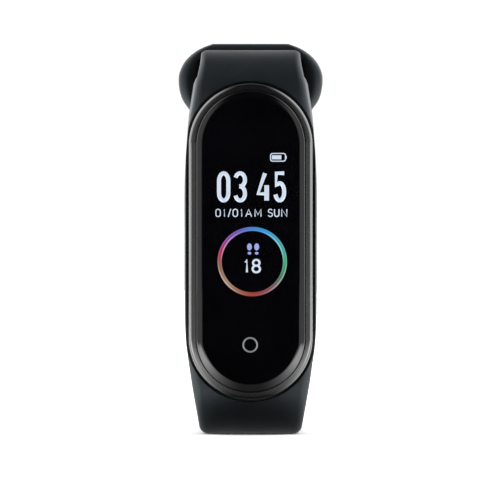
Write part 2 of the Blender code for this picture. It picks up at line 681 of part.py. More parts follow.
def make_display(body, finishes):
    reach = PIECE_R - GAP
    touch = [(reach, TOUCH_FRONT), (reach, TOUCH_FRONT + TOUCH_THICKNESS)]
    stadium_stack("touch_sensor", touch, finishes["film"], body)
    middle = (0.0, (PANEL_TOP + PANEL_BOTTOM) / 2)
    size = (2 * (CAVITY_R - PANEL_SIDE_ROOM), PANEL_LENGTH)
    panel_back = PANEL_FRONT + PANEL_THICKNESS
    plate("display_panel", size, middle, PANEL_FRONT, panel_back, finishes["panel"], body)
    outline = arc((0.0, STRAIGHT_HALF), PIECE_R, 0, 180, CAP_STEPS)
    outline += [(-PIECE_R, PANEL_BOTTOM), (PIECE_R, PANEL_BOTTOM)]
    bracket = prism_y(
        "display_bracket", outline, BRACKET_FRONT, BRACKET_BACK, finishes["steel"], body
    )
    window = rounded(BRACKET_WINDOW, LENS_CORNER, middle)
    tool = prism_y("bracket_window", window, BRACKET_FRONT - GAP, BRACKET_BACK + GAP)
    boolean(bracket, tool, "DIFFERENCE")
    connector_front = BOARD_FRONT - GAP - CONNECTOR_HEIGHT
    flexes = (
        ("display", DISPLAY_FLEX_WIDTH, DISPLAY_FLEX_HEIGHT, PANEL_FRONT + GAP, connector_front - GAP),
        ("touch", TOUCH_FLEX_WIDTH, TOUCH_FLEX_HEIGHT, PANEL_FRONT, CHIP_BACK),
    )
    for name, width, height, front, back in flexes:
        size = (width, FLEX_THICKNESS)
        plate(name + "_flex", size, (0.0, height), front, back, finishes["flex"], body)


# Capsule's inside


def make_main_board(body, finishes):
    board = [(PIECE_R, BOARD_FRONT), (PIECE_R, BOARD_BACK)]
    stadium_stack("main_board", board, finishes["board"], body)
    chip_front = CHIP_BACK - CHIP_THICKNESS
    chips = (
        ("processor_chip", PROCESSOR, (0.0, PROCESSOR_HEIGHT)),
        ("memory_chip", MEMORY, (0.0, MEMORY_HEIGHT)),
        ("power_chip", POWER_CHIP, (UPPER_CHIP_SIDE, UPPER_CHIP_HEIGHT)),
        ("motion_sensor_chip", MOTION_SENSOR, (-UPPER_CHIP_SIDE, UPPER_CHIP_HEIGHT)),
        ("clock_crystal", CLOCK_CRYSTAL, (-UPPER_CHIP_SIDE, CRYSTAL_HEIGHT)),
    )
    for name, size, centre in chips:
        material = finishes["steel" if name == "clock_crystal" else "chip"]
        plate(name, size, centre, chip_front, CHIP_BACK, material, body)
    connector = (
        ("display_connector", DISPLAY_CONNECTOR, DISPLAY_FLEX_HEIGHT, CHIP_BACK, -1),
        ("sensor_connector", SENSOR_CONNECTOR, SENSOR_LINK_HEIGHT, PACK_FRONT, 1),
    )
    for name, size, height, base, away in connector:
        ends = sorted((base, base + away * CONNECTOR_HEIGHT))
        plate(name, size, (0.0, height), ends[0], ends[1], finishes["chip"], body)
    make_shield(body, finishes["steel"])


def make_shield(body, steel):
    """A thin can, open towards the board, over the processor and the memory."""
    top = PROCESSOR_HEIGHT + PROCESSOR[1] / 2
    bottom = MEMORY_HEIGHT - MEMORY[1] / 2
    centre = (0.0, (top + bottom) / 2)
    inner = (PROCESSOR[0] + 2 * SHIELD_SIDE, top - bottom + 2 * SHIELD_SIDE)
    outer = (inner[0] + 2 * SHIELD_WALL, inner[1] + 2 * SHIELD_WALL)
    roof = CHIP_BACK - CHIP_THICKNESS - GAP
    corner = SHIELD_SIDE
    layers = [
        (rounded(inner, corner, centre), roof),
        (rounded(inner, corner, centre), CHIP_BACK),
        (rounded(outer, corner + SHIELD_WALL, centre), CHIP_BACK),
        (rounded(outer, corner + SHIELD_WALL, centre), roof - SHIELD_WALL),
    ]
    stack("shield_can", layers, steel, body)


def make_battery(body, finishes):
    back = PACK_FRONT + BATTERY_THICKNESS
    size = (2 * BATTERY_HALF, BATTERY_TOP - BATTERY_BOTTOM)
    centre = (0.0, (BATTERY_TOP + BATTERY_BOTTOM) / 2)
    outline = rounded(size, BATTERY_EDGE, centre)
    inset = rounded([s - BATTERY_EDGE for s in size], BATTERY_EDGE / 2, centre)
    layers = [
        (inset, PACK_FRONT),
        (outline, PACK_FRONT + BATTERY_EDGE / 2),
        (outline, back - BATTERY_EDGE / 2),
        (inset, back),
    ]
    stack("battery_cell", layers, finishes["cell"], body)
    height = BATTERY_TOP + GAP + BATTERY_BOARD[1] / 2
    board_front = PACK_FRONT + 2 * LEAD_RADIUS + GAP
    board_back = board_front + BOARD_THICKNESS
    place = (0.0, height)
    plate("battery_board", BATTERY_BOARD, place, board_front, board_back, finishes["board"], body)
    edge = height + BATTERY_BOARD[1] / 2 + GAP
    for name, sign in (("positive", 1), ("negative", -1)):
        route = [
            (board_front + BOARD_THICKNESS / 2, edge),
            (board_front + BOARD_THICKNESS / 2, edge + LEAD_RADIUS),
            (board_front, edge + 2 * LEAD_RADIUS),
            (PACK_FRONT + LEAD_RADIUS, edge + LEAD_RADIUS),
            (PACK_FRONT + LEAD_RADIUS, edge - 2 * LEAD_RADIUS),
        ]
        points = [(sign * LEAD_SIDE, y_at(d), z_at(h)) for d, h in route]
        make_wire("battery_lead_" + name, points, LEAD_RADIUS, finishes["lead_" + name], body)


def make_wire(name, points, radius, material, body, sides=2):
    """A round wire along a list of points, as a curve with closed ends."""
    curve = bpy.data.curves.new(name, "CURVE")
    curve.dimensions = "3D"
    curve.bevel_depth = radius
    curve.bevel_resolution = sides
    curve.use_fill_caps = True
    spline = curve.splines.new("POLY")
    spline.points.add(len(points) - 1)
    for point, place in zip(spline.points, points):
        point.co = (*place, 1.0)
    curve.materials.append(material)
    wire = bpy.data.objects.new(name, curve)
    bpy.context.collection.objects.link(wire)
    hang(wire, body)


def make_aerial(body, material):
    """A strip aerial bent round the inside of the capsule's upper end."""
    middle = (0.0, STRAIGHT_HALF)
    outer = arc(middle, PIECE_R, 90 - AERIAL_SPAN, 90 + AERIAL_SPAN, CAP_STEPS)
    inner = arc(middle, PIECE_R - AERIAL_THICKNESS, 90 + AERIAL_SPAN, 90 - AERIAL_SPAN, CAP_STEPS)
    front = PACK_FRONT + GAP
    prism_y("antenna_strip", outer + inner, front, front + AERIAL_WIDTH, material, body)


def make_motor(capsule, rotor_body, finishes):
    """A coin motor: fixed base, cover and shaft, with an off-centre weight that spins."""
    centre = (0.0, MOTOR_CENTRE)
    base_back = PACK_FRONT + MOTOR_BASE_THICKNESS
    cover_front = base_back + GAP
    cover_back = PACK_FRONT + MOTOR_HEIGHT
    base = [(MOTOR_RADIUS, PACK_FRONT), (MOTOR_RADIUS, base_back)]
    turned("motor_base", base, centre, finishes["steel"], capsule)
    inner = MOTOR_RADIUS - MOTOR_WALL
    cover = [
        (inner, cover_back - MOTOR_WALL),
        (inner, cover_front),
        (MOTOR_RADIUS, cover_front),
        (MOTOR_RADIUS, cover_back),
    ]
    turned("motor_cover", cover, centre, finishes["steel"], capsule)
    shaft_end = cover_back - MOTOR_WALL - GAP
    shaft = [(MOTOR_SHAFT_RADIUS, cover_front), (MOTOR_SHAFT_RADIUS, shaft_end)]
    turned("motor_shaft", shaft, centre, finishes["steel"], capsule)
    bore = MOTOR_SHAFT_RADIUS + GAP
    half = arc(centre, ROTOR_RADIUS, 180, 360, CAP_STEPS)
    hub = arc(centre, 2 * bore, 0, 180, CAP_STEPS // 2)
    front = cover_front + GAP
    back = shaft_end - GAP
    rotor = prism_y("motor_rotor", half + hub, front, back, finishes["weight"], rotor_body)
    tool = prism_y("rotor_bore", circle(bore, centre), front - OVERCUT, back + OVERCUT)
    boolean(rotor, tool, "DIFFERENCE")


def make_heart_sensor(body, finishes):
    centre = (0.0, SENSOR_HEIGHT)
    plate(
        "heart_rate_board",
        SENSOR_BOARD,
        centre,
        SENSOR_BOARD_FRONT,
        SENSOR_BOARD_BACK,
        finishes["board"],
        body,
    )
    front = SENSOR_BOARD_BACK + GAP
    back = front + LED_THICKNESS
    led_size = (LED_SIZE, LED_SIZE)
    parts = (
        ("pulse_led_upper", led_size, LED_OFFSET, "led"),
        ("pulse_led_lower", led_size, -LED_OFFSET, "led"),
        ("photodiode", PHOTODIODE, 0.0, "chip"),
    )
    baffle = prism_y(
        "sensor_baffle",
        rounded(BAFFLE, LENS_CORNER / 2, centre),
        front,
        front + BAFFLE_DEPTH,
        finishes["film"],
        body,
    )
    for name, size, offset, look in parts:
        place = (0.0, SENSOR_HEIGHT + offset)
        plate(name, size, place, front, back, finishes[look], body)
        hole = rounded([s + 2 * GAP for s in size], GAP, place, 2)
        tool = prism_y(name + "_pocket", hole, front - OVERCUT, front + BAFFLE_DEPTH + OVERCUT)
        boolean(baffle, tool, "DIFFERENCE")
    lens_back = PLATFORM_BACK + LENS_PROUD
    outline = rounded(LENS, LENS_CORNER, centre)
    inset = rounded([s - 2 * LENS_PROUD for s in LENS], LENS_CORNER - LENS_PROUD, centre)
    layers = [
        (outline, lens_back - LENS_THICKNESS),
        (outline, lens_back - LENS_PROUD),
        (inset, lens_back),
    ]
    stack("sensor_lens", layers, finishes["lens"], body)
    link = (0.0, SENSOR_LINK_HEIGHT)
    link_front = PACK_FRONT + CONNECTOR_HEIGHT + GAP
    link_back = SENSOR_BOARD_FRONT - GAP
    size = (SENSOR_FLEX_WIDTH, FLEX_THICKNESS)
    plate("sensor_flex", size, link, link_front, link_back, finishes["flex"], body)


def make_contacts(body, finishes):
    """Two gold charging contacts in the back, each on its own coil spring."""
    flange_back = PLATFORM_FLOOR - GAP
    flange_front = flange_back - CONTACT_FLANGE_THICKNESS
    head = PLATFORM_BACK + CONTACT_PROUD
    layers = [
        (CONTACT_FLANGE, flange_front),
        (CONTACT_FLANGE, flange_back),
        (CONTACT_RADIUS, flange_back),
        (CONTACT_RADIUS, head - CONTACT_PROUD * 4),
        (CONTACT_RADIUS - CONTACT_PROUD * 4, head),
    ]
    start = PACK_FRONT + SPRING_WIRE
    length = flange_front - GAP - SPRING_WIRE - start
    steps = int(SPRING_TURNS * CAP_STEPS)
    for side, sign in (("left", -1), ("right", 1)):
        x = sign * CONTACT_SIDE
        turned("charge_contact_" + side, layers, (x, CONTACT_HEIGHT), finishes["gold"], body)
        points = []
        for i in range(steps + 1):
            turn = 2 * math.pi * i / CAP_STEPS
            across = x + SPRING_RADIUS * math.cos(turn)
            rise = CONTACT_HEIGHT + SPRING_RADIUS * math.sin(turn)
            points.append((across, y_at(start + length * i / steps), z_at(rise)))
        make_wire("contact_spring_" + side, points, SPRING_WIRE, finishes["gold"], body, 1)


def make_finishes():
    return {
        "strap": finish("strap_rubber", (38, 42, 45), 0.6),
        "shell": finish("capsule_black", (30, 33, 36), 0.35),
        "glass": finish("cover_glass", (6, 7, 9), 0.08),
        "seal": finish("seal_black", (22, 22, 22), 0.8),
        "film": finish("film_black", (18, 18, 20), 0.5),
        "panel": finish("display_black", (12, 14, 18), 0.2),
        "button": finish("button_steel", (178, 180, 182), 0.35, 1.0),
        "steel": finish("inner_steel", (178, 180, 182), 0.35, 1.0),
        "flex": finish("flex_amber", (150, 95, 30), 0.45),
        "board": finish("board_green", (20, 70, 45), 0.5),
        "chip": finish("chip_black", (28, 28, 30), 0.55),
        "cell": finish("battery_foil", (190, 192, 196), 0.4, 1.0),
        "lead_positive": finish("lead_red", (170, 25, 20), 0.5),
        "lead_negative": finish("lead_black", (20, 20, 20), 0.5),
        "weight": finish("rotor_weight", (150, 148, 145), 0.4, 1.0),
        "led": finish("led_green", (120, 220, 140), 0.3),
        "lens": finish("sensor_lens", (16, 18, 18), 0.08),
        "gold": finish("contact_gold", (212, 170, 90), 0.3, 1.0),
    }


def main():
    clear_scene()
    looks = make_finishes()
    cradle = axis_empty("cradle_frame", 0.0, 0.0)
    capsule = axis_empty("capsule_frame", 0.0, 0.0, cradle)
    rotor = axis_empty("rotor_frame", PACK_FRONT, MOTOR_CENTRE, capsule)
    upper_arm = axis_empty("upper_arm_frame", UPPER_FRONT_FLEX, RUN_MIDDLE, cradle)
    tongue_end = axis_empty("tongue_end_frame", UPPER_BACK_FLEX, RUN_MIDDLE, upper_arm)
    tail = axis_empty("tail_frame", TAIL_DEPTH, TAIL_FLEX_HEIGHT, tongue_end)
    lower_arm = axis_empty("lower_arm_frame", LOWER_FRONT_FLEX, -RUN_MIDDLE, cradle)
    ring_arm = axis_empty("ring_arm_frame", LOWER_BACK_FLEX, -RUN_MIDDLE, lower_arm)

    rubber = looks["strap"]
    make_cradle(cradle, rubber)
    flex_run("strap_upper_arm", UPPER_FRONT_FLEX, UPPER_BACK_FLEX, 1, rubber, upper_arm)
    flex_run("strap_lower_arm", LOWER_FRONT_FLEX, LOWER_BACK_FLEX, -1, rubber, lower_arm)
    make_tongue_end(tongue_end, rubber)
    make_tail(tail, rubber)
    make_button(tail, looks["button"])
    make_ring_arm(ring_arm, rubber)

    make_shell(capsule, looks["shell"])
    make_glass(capsule, looks["glass"], looks["seal"])
    make_display(capsule, looks)
    make_main_board(capsule, looks)
    make_battery(capsule, looks)
    make_aerial(capsule, looks["gold"])
    make_motor(capsule, rotor, looks)
    make_heart_sensor(capsule, looks)
    make_contacts(capsule, looks)


main()
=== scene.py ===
import math

import bmesh
import bpy
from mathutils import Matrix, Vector


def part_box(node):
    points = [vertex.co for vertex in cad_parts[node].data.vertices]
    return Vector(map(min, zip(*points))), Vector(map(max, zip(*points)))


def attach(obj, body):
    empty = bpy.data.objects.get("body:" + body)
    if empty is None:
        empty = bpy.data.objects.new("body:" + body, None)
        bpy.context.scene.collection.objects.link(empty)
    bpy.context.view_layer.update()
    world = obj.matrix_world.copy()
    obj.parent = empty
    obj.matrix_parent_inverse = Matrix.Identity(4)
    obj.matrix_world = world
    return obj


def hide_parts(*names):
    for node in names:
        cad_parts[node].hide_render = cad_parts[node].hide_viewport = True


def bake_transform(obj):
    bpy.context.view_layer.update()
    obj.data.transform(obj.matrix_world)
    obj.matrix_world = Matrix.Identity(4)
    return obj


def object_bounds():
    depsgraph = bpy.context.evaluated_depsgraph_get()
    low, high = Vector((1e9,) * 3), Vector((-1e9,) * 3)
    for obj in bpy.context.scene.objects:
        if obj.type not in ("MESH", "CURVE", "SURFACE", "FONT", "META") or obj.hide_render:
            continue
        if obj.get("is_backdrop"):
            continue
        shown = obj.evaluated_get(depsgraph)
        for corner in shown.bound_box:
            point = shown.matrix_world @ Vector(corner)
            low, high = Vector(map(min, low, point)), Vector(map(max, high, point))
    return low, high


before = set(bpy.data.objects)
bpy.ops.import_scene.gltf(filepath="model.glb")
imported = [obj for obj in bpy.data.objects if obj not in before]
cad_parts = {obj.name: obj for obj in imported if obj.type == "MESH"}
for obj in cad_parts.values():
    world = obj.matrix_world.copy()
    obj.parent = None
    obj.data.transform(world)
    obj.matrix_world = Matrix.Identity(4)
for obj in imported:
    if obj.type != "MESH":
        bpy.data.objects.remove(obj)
cadBox = [list(corner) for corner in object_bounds()]

mm = 0.001
cradleLow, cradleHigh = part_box("strap_cradle")
faceY = cradleLow.y  # the strap's front face
midZ = (cradleLow.z + cradleHigh.z) / 2  # middle of the capsule


def at(x, depth, height):  # millimetres right, back from the strap's face, and up from the capsule's middle
    return Vector((x * mm, faceY + depth * mm, midZ + height * mm))


def middleOf(node):  # a CAD node's middle, in the same millimetres
    low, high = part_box(node)
    centre = (low + high) / 2
    return centre.x / mm, (centre.y - faceY) / mm, (centre.z - midZ) / mm


def only(piece):  # selects one object and makes it active
    bpy.ops.object.select_all(action="DESELECT")
    piece.select_set(True)
    bpy.context.view_layer.objects.active = piece


def leaveEdit():
    bpy.ops.object.mode_set(mode="OBJECT")
    return bpy.context.object


def startObject(name):
    bpy.context.object.name = name
    bpy.context.object.data.name = name
    bpy.ops.object.transform_apply()
    bpy.ops.object.mode_set(mode="EDIT")
    bpy.ops.mesh.select_mode(type="VERT")
    bpy.ops.mesh.select_all(action="SELECT")


def editMesh():
    return bmesh.from_edit_mesh(bpy.context.object.data)


def pick(test, kind="verts"):  # selects what passes the test, and nothing else
    bm = editMesh()
    bpy.ops.mesh.select_all(action="DESELECT")
    for item in getattr(bm, kind):
        if test(item):
            item.select = True
    bm.select_flush_mode()
    bmesh.update_edit_mesh(bpy.context.object.data)


def tidyMesh():
    bpy.ops.mesh.select_all(action="SELECT")
    bpy.ops.mesh.remove_doubles(threshold=0.002 * mm)
    bpy.ops.mesh.normals_make_consistent(inside=False)


def closeUp(angle=35.0, weighted=True):  # back to object mode with clean normals
    tidyMesh()
    return polish(leaveEdit(), angle, weighted)


def polish(piece, angle=35.0, weighted=True):
    only(piece)
    bpy.ops.object.shade_smooth_by_angle(angle=math.radians(angle))
    if weighted:
        bpy.ops.object.modifier_add(type="WEIGHTED_NORMAL")
        piece.modifiers[-1].keep_sharp = True
        piece.modifiers[-1].weight = 80
        bpy.ops.object.modifier_apply(modifier=piece.modifiers[-1].name)
    return piece


def apply(piece, kind, **settings):
    only(piece)
    bpy.ops.object.modifier_add(type=kind)
    modifier = piece.modifiers[-1]
    for key, value in settings.items():
        setattr(modifier, key, value)
    bpy.ops.object.modifier_apply(modifier=modifier.name)


def cut(piece, cutter):
    apply(piece, "BOOLEAN", object=cutter, operation="DIFFERENCE", solver="EXACT")
    bpy.data.objects.remove(cutter, do_unlink=True)


def wear(piece, look, body=None, stands=()):  # finish, material slot, and the body it rides on
    piece.data.materials.clear()
    piece.data.materials.append(look)
    if stands:
        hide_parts(*stands)
    if body:
        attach(piece, body)
    return piece


def smoothTable(table, value):  # eases through (place, size) pairs
    if value <= table[0][0]:
        return table[0][1]
    for i in range(len(table) - 1):
        (a, fa), (b, fb) = table[i], table[i + 1]
        if value <= b:
            before = table[max(i - 1, 0)]
            after = table[min(i + 2, len(table) - 1)]
            slopeA = (fb - before[1]) / max(b - before[0], 1e-6)
            slopeB = (after[1] - fa) / max(after[0] - a, 1e-6)
            t = (value - a) / (b - a)
            h = b - a
            return ((2 * t**3 - 3 * t**2 + 1) * fa + (t**3 - 2 * t**2 + t) * h * slopeA
                    + (3 * t**2 - 2 * t**3) * fb + (t**3 - t**2) * h * slopeB)
    return table[-1][1]


def pull(depth):  # extrudes the selection back by a depth
    bpy.ops.mesh.extrude_region_move(TRANSFORM_OT_translate={"value": (0, depth * mm, 0)})


def plate(name, place, wide, tall, corner, segments):  # a flat outline with round corners, facing front
    bpy.ops.mesh.primitive_plane_add(size=1, location=place, rotation=(math.pi / 2, 0, 0))
    startObject(name)
    bpy.ops.transform.resize(value=(wide * mm, 1, tall * mm))
    bpy.ops.mesh.bevel(offset=corner * mm, segments=segments, affect="VERTICES", profile=0.5)


def turn(name, profile, centre=(0.0, 0.0), sides=96, straight=0.0):
    # turned round the depth axis from (radius, depth) pairs; straight pulls its halves apart up and down
    radius, depth = profile[0]
    x, z = centre
    bpy.ops.mesh.primitive_circle_add(vertices=sides, radius=radius * mm, fill_type="NGON",
                                      location=at(x, depth, z), rotation=(math.pi / 2, math.pi / sides, 0))
    startObject(name)
    for (r0, d0), (r1, d1) in zip(profile, profile[1:]):
        pull(d1 - d0)
        bpy.ops.transform.resize(value=(r1 / r0, 1, r1 / r0), center_override=at(x, d1, z))
    if straight:
        for sign in (1, -1):
            pick(lambda v: (v.co.z - at(x, 0, z).z) * sign > 0)
            bpy.ops.transform.translate(value=(0, 0, sign * straight * mm))
    tidyMesh()


strap = {
    "halfWidth": 7.4, "thickness": 2.2, "edge": 1.05, "edgeSteps": 7,
    "top": 28.6, "inner": 26.4,  # outer and inner faces of the upper and lower runs
    "frontBend": 7.65, "cradleBack": 9.0, "fillet": 2.5,
    # half widths at heights from the middle: the cradle above and below it, and the ring's outline
    "waist": [(0, 9.79), (8, 9.79), (12.7, 9.6), (16.4, 9.28), (18, 9.05), (20, 8.68), (22.2, 8.33),
              (23.3, 8.21), (24.1, 7.98), (25.1, 7.78), (26.6, 7.52), (27.7, 7.42), (28.6, 7.4)],
    "lowerWaist": [(0, 9.79), (8, 9.79), (12, 9.74), (13.5, 9.67), (15, 9.55), (16.4, 9.38), (17.9, 9.16),
                   (19.4, 8.94), (21.3, 8.65), (23.15, 8.36), (24.5, 8.15), (25.9, 7.93), (27.25, 7.74),
                   (28.0, 7.62), (28.6, 7.4)],
    "ringPlan": [(14.1, 7.4), (15.5, 7.4), (16.93, 7.52), (18.26, 7.92), (19.48, 8.6), (20.6, 9.5),
                 (22, 10.52), (23, 10.95), (24, 11.18), (25.25, 11.3), (26.5, 11.18), (28, 10.52), (29, 9.69),
                 (29.8, 8.72), (30.5, 7.55), (31.0, 6.44)],
    "tailBend": (38.9, 20.5, 7.0), "heelBend": (33.9, -18.0, 9.5),  # depth, height and centre-line radius
    "ringEdge": 1.2, "ringTop": 31.08, "ringHalf": 1.3,
    "tailTip": -16.3, "tailRound": 6.0, "tailThin": 0.75,
    "upperSeam": 31.9, "lowerSeam": 20.4,  # depths where one piece ends and the next begins
}


def beginStrap(name, halfWidth, across):
    plate(name, (0, 0, 0), 2 * halfWidth, strap["thickness"], strap["edge"], strap["edgeSteps"])
    half = strap["thickness"] * mm / 2
    if across:
        pick(lambda e: all(abs(abs(v.co.z) - half) < 1e-6 for v in e.verts), "edges")
        bpy.ops.mesh.subdivide(number_cuts=across)
        bpy.ops.mesh.select_all(action="SELECT")
    return {"outer": Vector((0, 0, half)), "inner": Vector((0, 0, -half)), "tilt": 0.0, "half": halfWidth,
            "innerHalf": halfWidth}


def choose(indices):
    chosen = set(indices)
    pick(lambda v: v.index in chosen)


def moveHalf(indices, old, new, turnBy, stretch):
    choose(indices)
    bpy.ops.transform.translate(value=new - old)
    if abs(turnBy) > 1e-7:
        bpy.ops.transform.rotate(value=-turnBy, orient_axis="X", center_override=new)
    if abs(stretch - 1) > 1e-7:
        bpy.ops.transform.resize(value=(stretch, 1, 1), center_override=new)


def placeSection(state, station):  # moves the selected section's outer and inner halves to a station
    outer, inner, halfWidth, innerHalf = at(0, *station[0]), at(0, *station[1]), station[2], station[-1]
    up = outer - inner
    tilt = math.atan2(-up.y, up.z)
    turnBy = math.remainder(tilt - state["tilt"], 2 * math.pi)
    middle, oldUp = (state["outer"] + state["inner"]) / 2, state["outer"] - state["inner"]
    ring = [(v.index, (v.co - middle).dot(oldUp) > 0) for v in editMesh().verts if v.select]
    upper, lower = [i for i, above in ring if above], [i for i, above in ring if not above]
    moveHalf(upper, state["outer"], outer, turnBy, halfWidth / state["half"])
    moveHalf(lower, state["inner"], inner, turnBy, innerHalf / state["innerHalf"])
    choose(upper + lower)
    state.update(outer=outer, inner=inner, tilt=tilt, half=halfWidth, innerHalf=innerHalf)


def strapLoft(name, stations, across=0):
    state = beginStrap(name, stations[0][2], across)
    placeSection(state, stations[0])
    for station in stations[1:]:
        bpy.ops.mesh.extrude_region_move(TRANSFORM_OT_translate={"value": (0, 0, 0)})
        placeSection(state, station)
    return state


def roundOff(state, steps):  # closes an upright run: each step is (height, half width, half thickness)
    start = (state["outer"] - state["inner"]).length / 2
    middle = (state["outer"] + state["inner"]) / 2
    wide, thick, level = state["half"], start / mm, middle.z
    for height, halfWidth, halfThickness in steps:
        z = at(0, 0, height).z
        bpy.ops.mesh.extrude_region_move(TRANSFORM_OT_translate={"value": (0, 0, z - level)})
        bpy.ops.transform.resize(value=(halfWidth / wide, halfThickness / thick, 1),
                                 center_override=(middle.x, middle.y, z))
        wide, thick, level = halfWidth, halfThickness, z


def run(depths, side=1):  # flat stations of the upper (1) or lower (-1) run
    return [((d, side * strap["top"]), (d, side * strap["inner"]), strap["halfWidth"]) for d in depths]


def bend(centre, start, end, steps, halfWidth):
    depth, height, radius = centre
    half = strap["thickness"] / 2
    stations = []
    for i in range(steps + 1):
        a = math.radians(start + (end - start) * i / steps)
        outer = (depth + (radius + half) * math.cos(a), height + (radius + half) * math.sin(a))
        inner = (depth + (radius - half) * math.cos(a), height + (radius - half) * math.sin(a))
        stations.append((outer, inner, halfWidth))
    return stations


def spaced(start, end, steps):
    return [start + (end - start) * i / steps for i in range(steps + 1)]


def cornerStations(side, steps=18):  # from the run's fillet round the front bend
    bendR, top, back, fillet = strap["frontBend"], strap["top"], strap["cradleBack"], strap["fillet"]
    flat = back + fillet - bendR
    length = flat + bendR * math.pi / 2
    stations = []
    for i in range(steps + 1):
        s = i / steps
        along = s * length
        if along <= flat:
            outer = (back + fillet - along, top)
        else:
            a = math.pi / 2 + (along - flat) / bendR
            outer = (bendR + bendR * math.cos(a), top - bendR + bendR * math.sin(a))
        t = math.pi / 2 + math.pi / 2 * s
        inner = (back + fillet + fillet * math.cos(t), strap["inner"] - fillet + fillet * math.sin(t))
        width = smoothTable(strap["waist" if side > 0 else "lowerWaist"], outer[1])
        if along < flat:
            width = strap["halfWidth"] + (width - strap["halfWidth"]) * along / flat
        innerWidth = width if side > 0 else min(width, smoothTable(strap["lowerWaist"], inner[1]))
        stations.append(((outer[0], side * outer[1]), (inner[0], side * inner[1]), width, innerWidth))
    return stations


flex = {  # depths of the four bend lines, how far the bending spreads, and the tail's bending heights
    "upperFront": 24.9, "upperBack": 38.9, "lowerFront": 13.4, "lowerBack": 27.4,
    "spread": 3.6, "beforeCorner": 1.6, "afterCorner": 2.6, "steps": 12, "tailFrom": 21.8, "tailTo": 16.4,
}


def flexSpan(line, before=flex["spread"], after=flex["spread"]):
    return flex[line] - before, flex[line] + after


def flexAt(piece):
    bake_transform(piece)


def makeCradle():
    straight = strap["top"] - strap["frontBend"]
    innerStraight = strap["inner"] - strap["fillet"]
    near, far = flexSpan("upperFront")
    stations = run([strap["upperSeam"], 30.0] + spaced(far, near, flex["steps"]) + [19.0, 16.5, 14.0, 12.5])
    stations += cornerStations(1)
    for t in spaced(1, -1, 44)[1:-1]:
        height, innerHeight = t * straight, t * innerStraight
        table = strap["waist" if t > 0 else "lowerWaist"]
        width = smoothTable(table, abs(height))
        innerWidth = smoothTable(table, abs(height if t > 0 else innerHeight))
        stations.append(((0, height), (strap["cradleBack"], innerHeight), width, innerWidth))
    stations += cornerStations(-1)[::-1]
    stations += run([11.8], -1)
    strapLoft("strapCradle", stations, 9)
    cradle = closeUp(weighted=False)
    crownFace(cradle)
    cut(cradle, pocketCutter())
    return cradle


cradleCrown = {  # how far the face falls away at its sides, less so in the middle rows of the cage
    "drop": 1.3, "middle": 0.4, "power": 2.0, "reach": 9.0, "halfWidth": 9.9, "halfHeight": 29.5,
    "cage": (7, 3, 9), "fullRows": (1, 2, 6, 7),
}
pocket = [(7.35, 12.0), (7.35, 8.95), (7.05, 8.65), (7.0, 8.0), (8.6, 8.0), (8.6, 1.75), (8.7, 1.65),
          (9.58, 1.65), (9.58, -1.5)]  # radius and depth: back opening, ledge, neck and rim groove


def crownFace(piece):  # a lattice lets the face fall away towards its sides
    wide, tall = cradleCrown["halfWidth"], cradleCrown["halfHeight"]
    low, high = at(-wide, 0, -tall), at(wide, cradleCrown["reach"], tall)
    bpy.ops.object.add(type="LATTICE", location=(low + high) / 2)
    cage = bpy.context.object
    cage.scale = high - low
    across, deep, rows = cradleCrown["cage"]
    cage.data.points_u, cage.data.points_v, cage.data.points_w = across, deep, rows
    for i, point in enumerate(cage.data.points):
        u, v, w = i % across, i // across % deep, i // (across * deep)
        side = abs(2 * u - across + 1) / (across - 1)
        ends = 1.0 if w in cradleCrown["fullRows"] else cradleCrown["middle"]
        if v == 0 and 0 < w < rows - 1:
            fall = cradleCrown["drop"] * side**cradleCrown["power"] * ends
            point.co_deform.y += fall * mm / cage.scale.y
    apply(piece, "LATTICE", object=cage)
    bpy.data.objects.remove(cage, do_unlink=True)


def pocketCutter():  # groove round the rim, neck, ledge and back opening
    turn("pocketCutter", pocket, sides=128, straight=capsule["straight"])
    return leaveEdit()


def makeStrap(looks):
    rubber = looks["strap"]
    half = strap["halfWidth"]
    cradle = makeCradle()
    polish(cradle)
    wear(cradle, rubber, stands=("strap_cradle",))
    flexAt(cradle)

    span = flexSpan("upperBack")
    depths = [strap["upperSeam"], 33.6] + spaced(span[0], flex["upperBack"], flex["steps"] // 2)
    strapLoft("strapUpperLink", run(depths) + bend(strap["tailBend"], 90, 30, 14, half)[1:])
    upper = closeUp()
    wear(upper, rubber, stands=("strap_upper_arm", "strap_tongue_end"))
    flexAt(upper)

    tail = makeTail()
    wear(tail, rubber, stands=("strap_tail",))
    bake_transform(tail)

    span = flexSpan("lowerFront", flex["beforeCorner"], flex["afterCorner"])
    strapLoft("strapLowerLink", run(spaced(span[0], span[1], flex["steps"]) + [18.0, strap["lowerSeam"]], -1))
    lower = closeUp()
    wear(lower, rubber, stands=("strap_lower_arm",))
    flexAt(lower)

    ring = makeRingArm()
    wear(ring, looks["ring"], stands=("strap_ring_arm",))
    flexAt(ring)
    print("strap: five lofted pieces")


def makeTail():
    half = strap["halfWidth"]
    centre = strap["tailBend"]
    thin = strap["thickness"] / 2
    outer, inner = centre[0] + centre[2] + thin, centre[0] + centre[2] - thin
    tip, length = strap["tailTip"], strap["tailRound"]
    stations = bend(centre, 30, 0, 8, half)
    heights = spaced(19.9, 16.0, 9) + [12.0, 6.0, 0.0, -6.0, tip + length]
    stations += [((outer, z), (inner, z), half) for z in heights]
    state = strapLoft("strapTail", stations)
    steps = []
    for i in range(1, 19):
        a = math.radians(90 * i / 18)
        height = tip + length * (1 - math.sin(a))
        lift = max(0.0, strap["edge"] - (height - tip)) / strap["edge"]
        sunk = strap["tailThin"] * (1 - math.sqrt(max(0.0, 1 - lift**2)))
        steps.append((height, max(half * math.cos(a), 0.35), thin - sunk))
    roundOff(state, steps)
    tail = closeUp(weighted=False)
    x, _, height = middleOf("button_disc")
    turn("buttonSeat", snap["seat"], (x, height), 64)
    cut(tail, leaveEdit())
    return polish(tail)


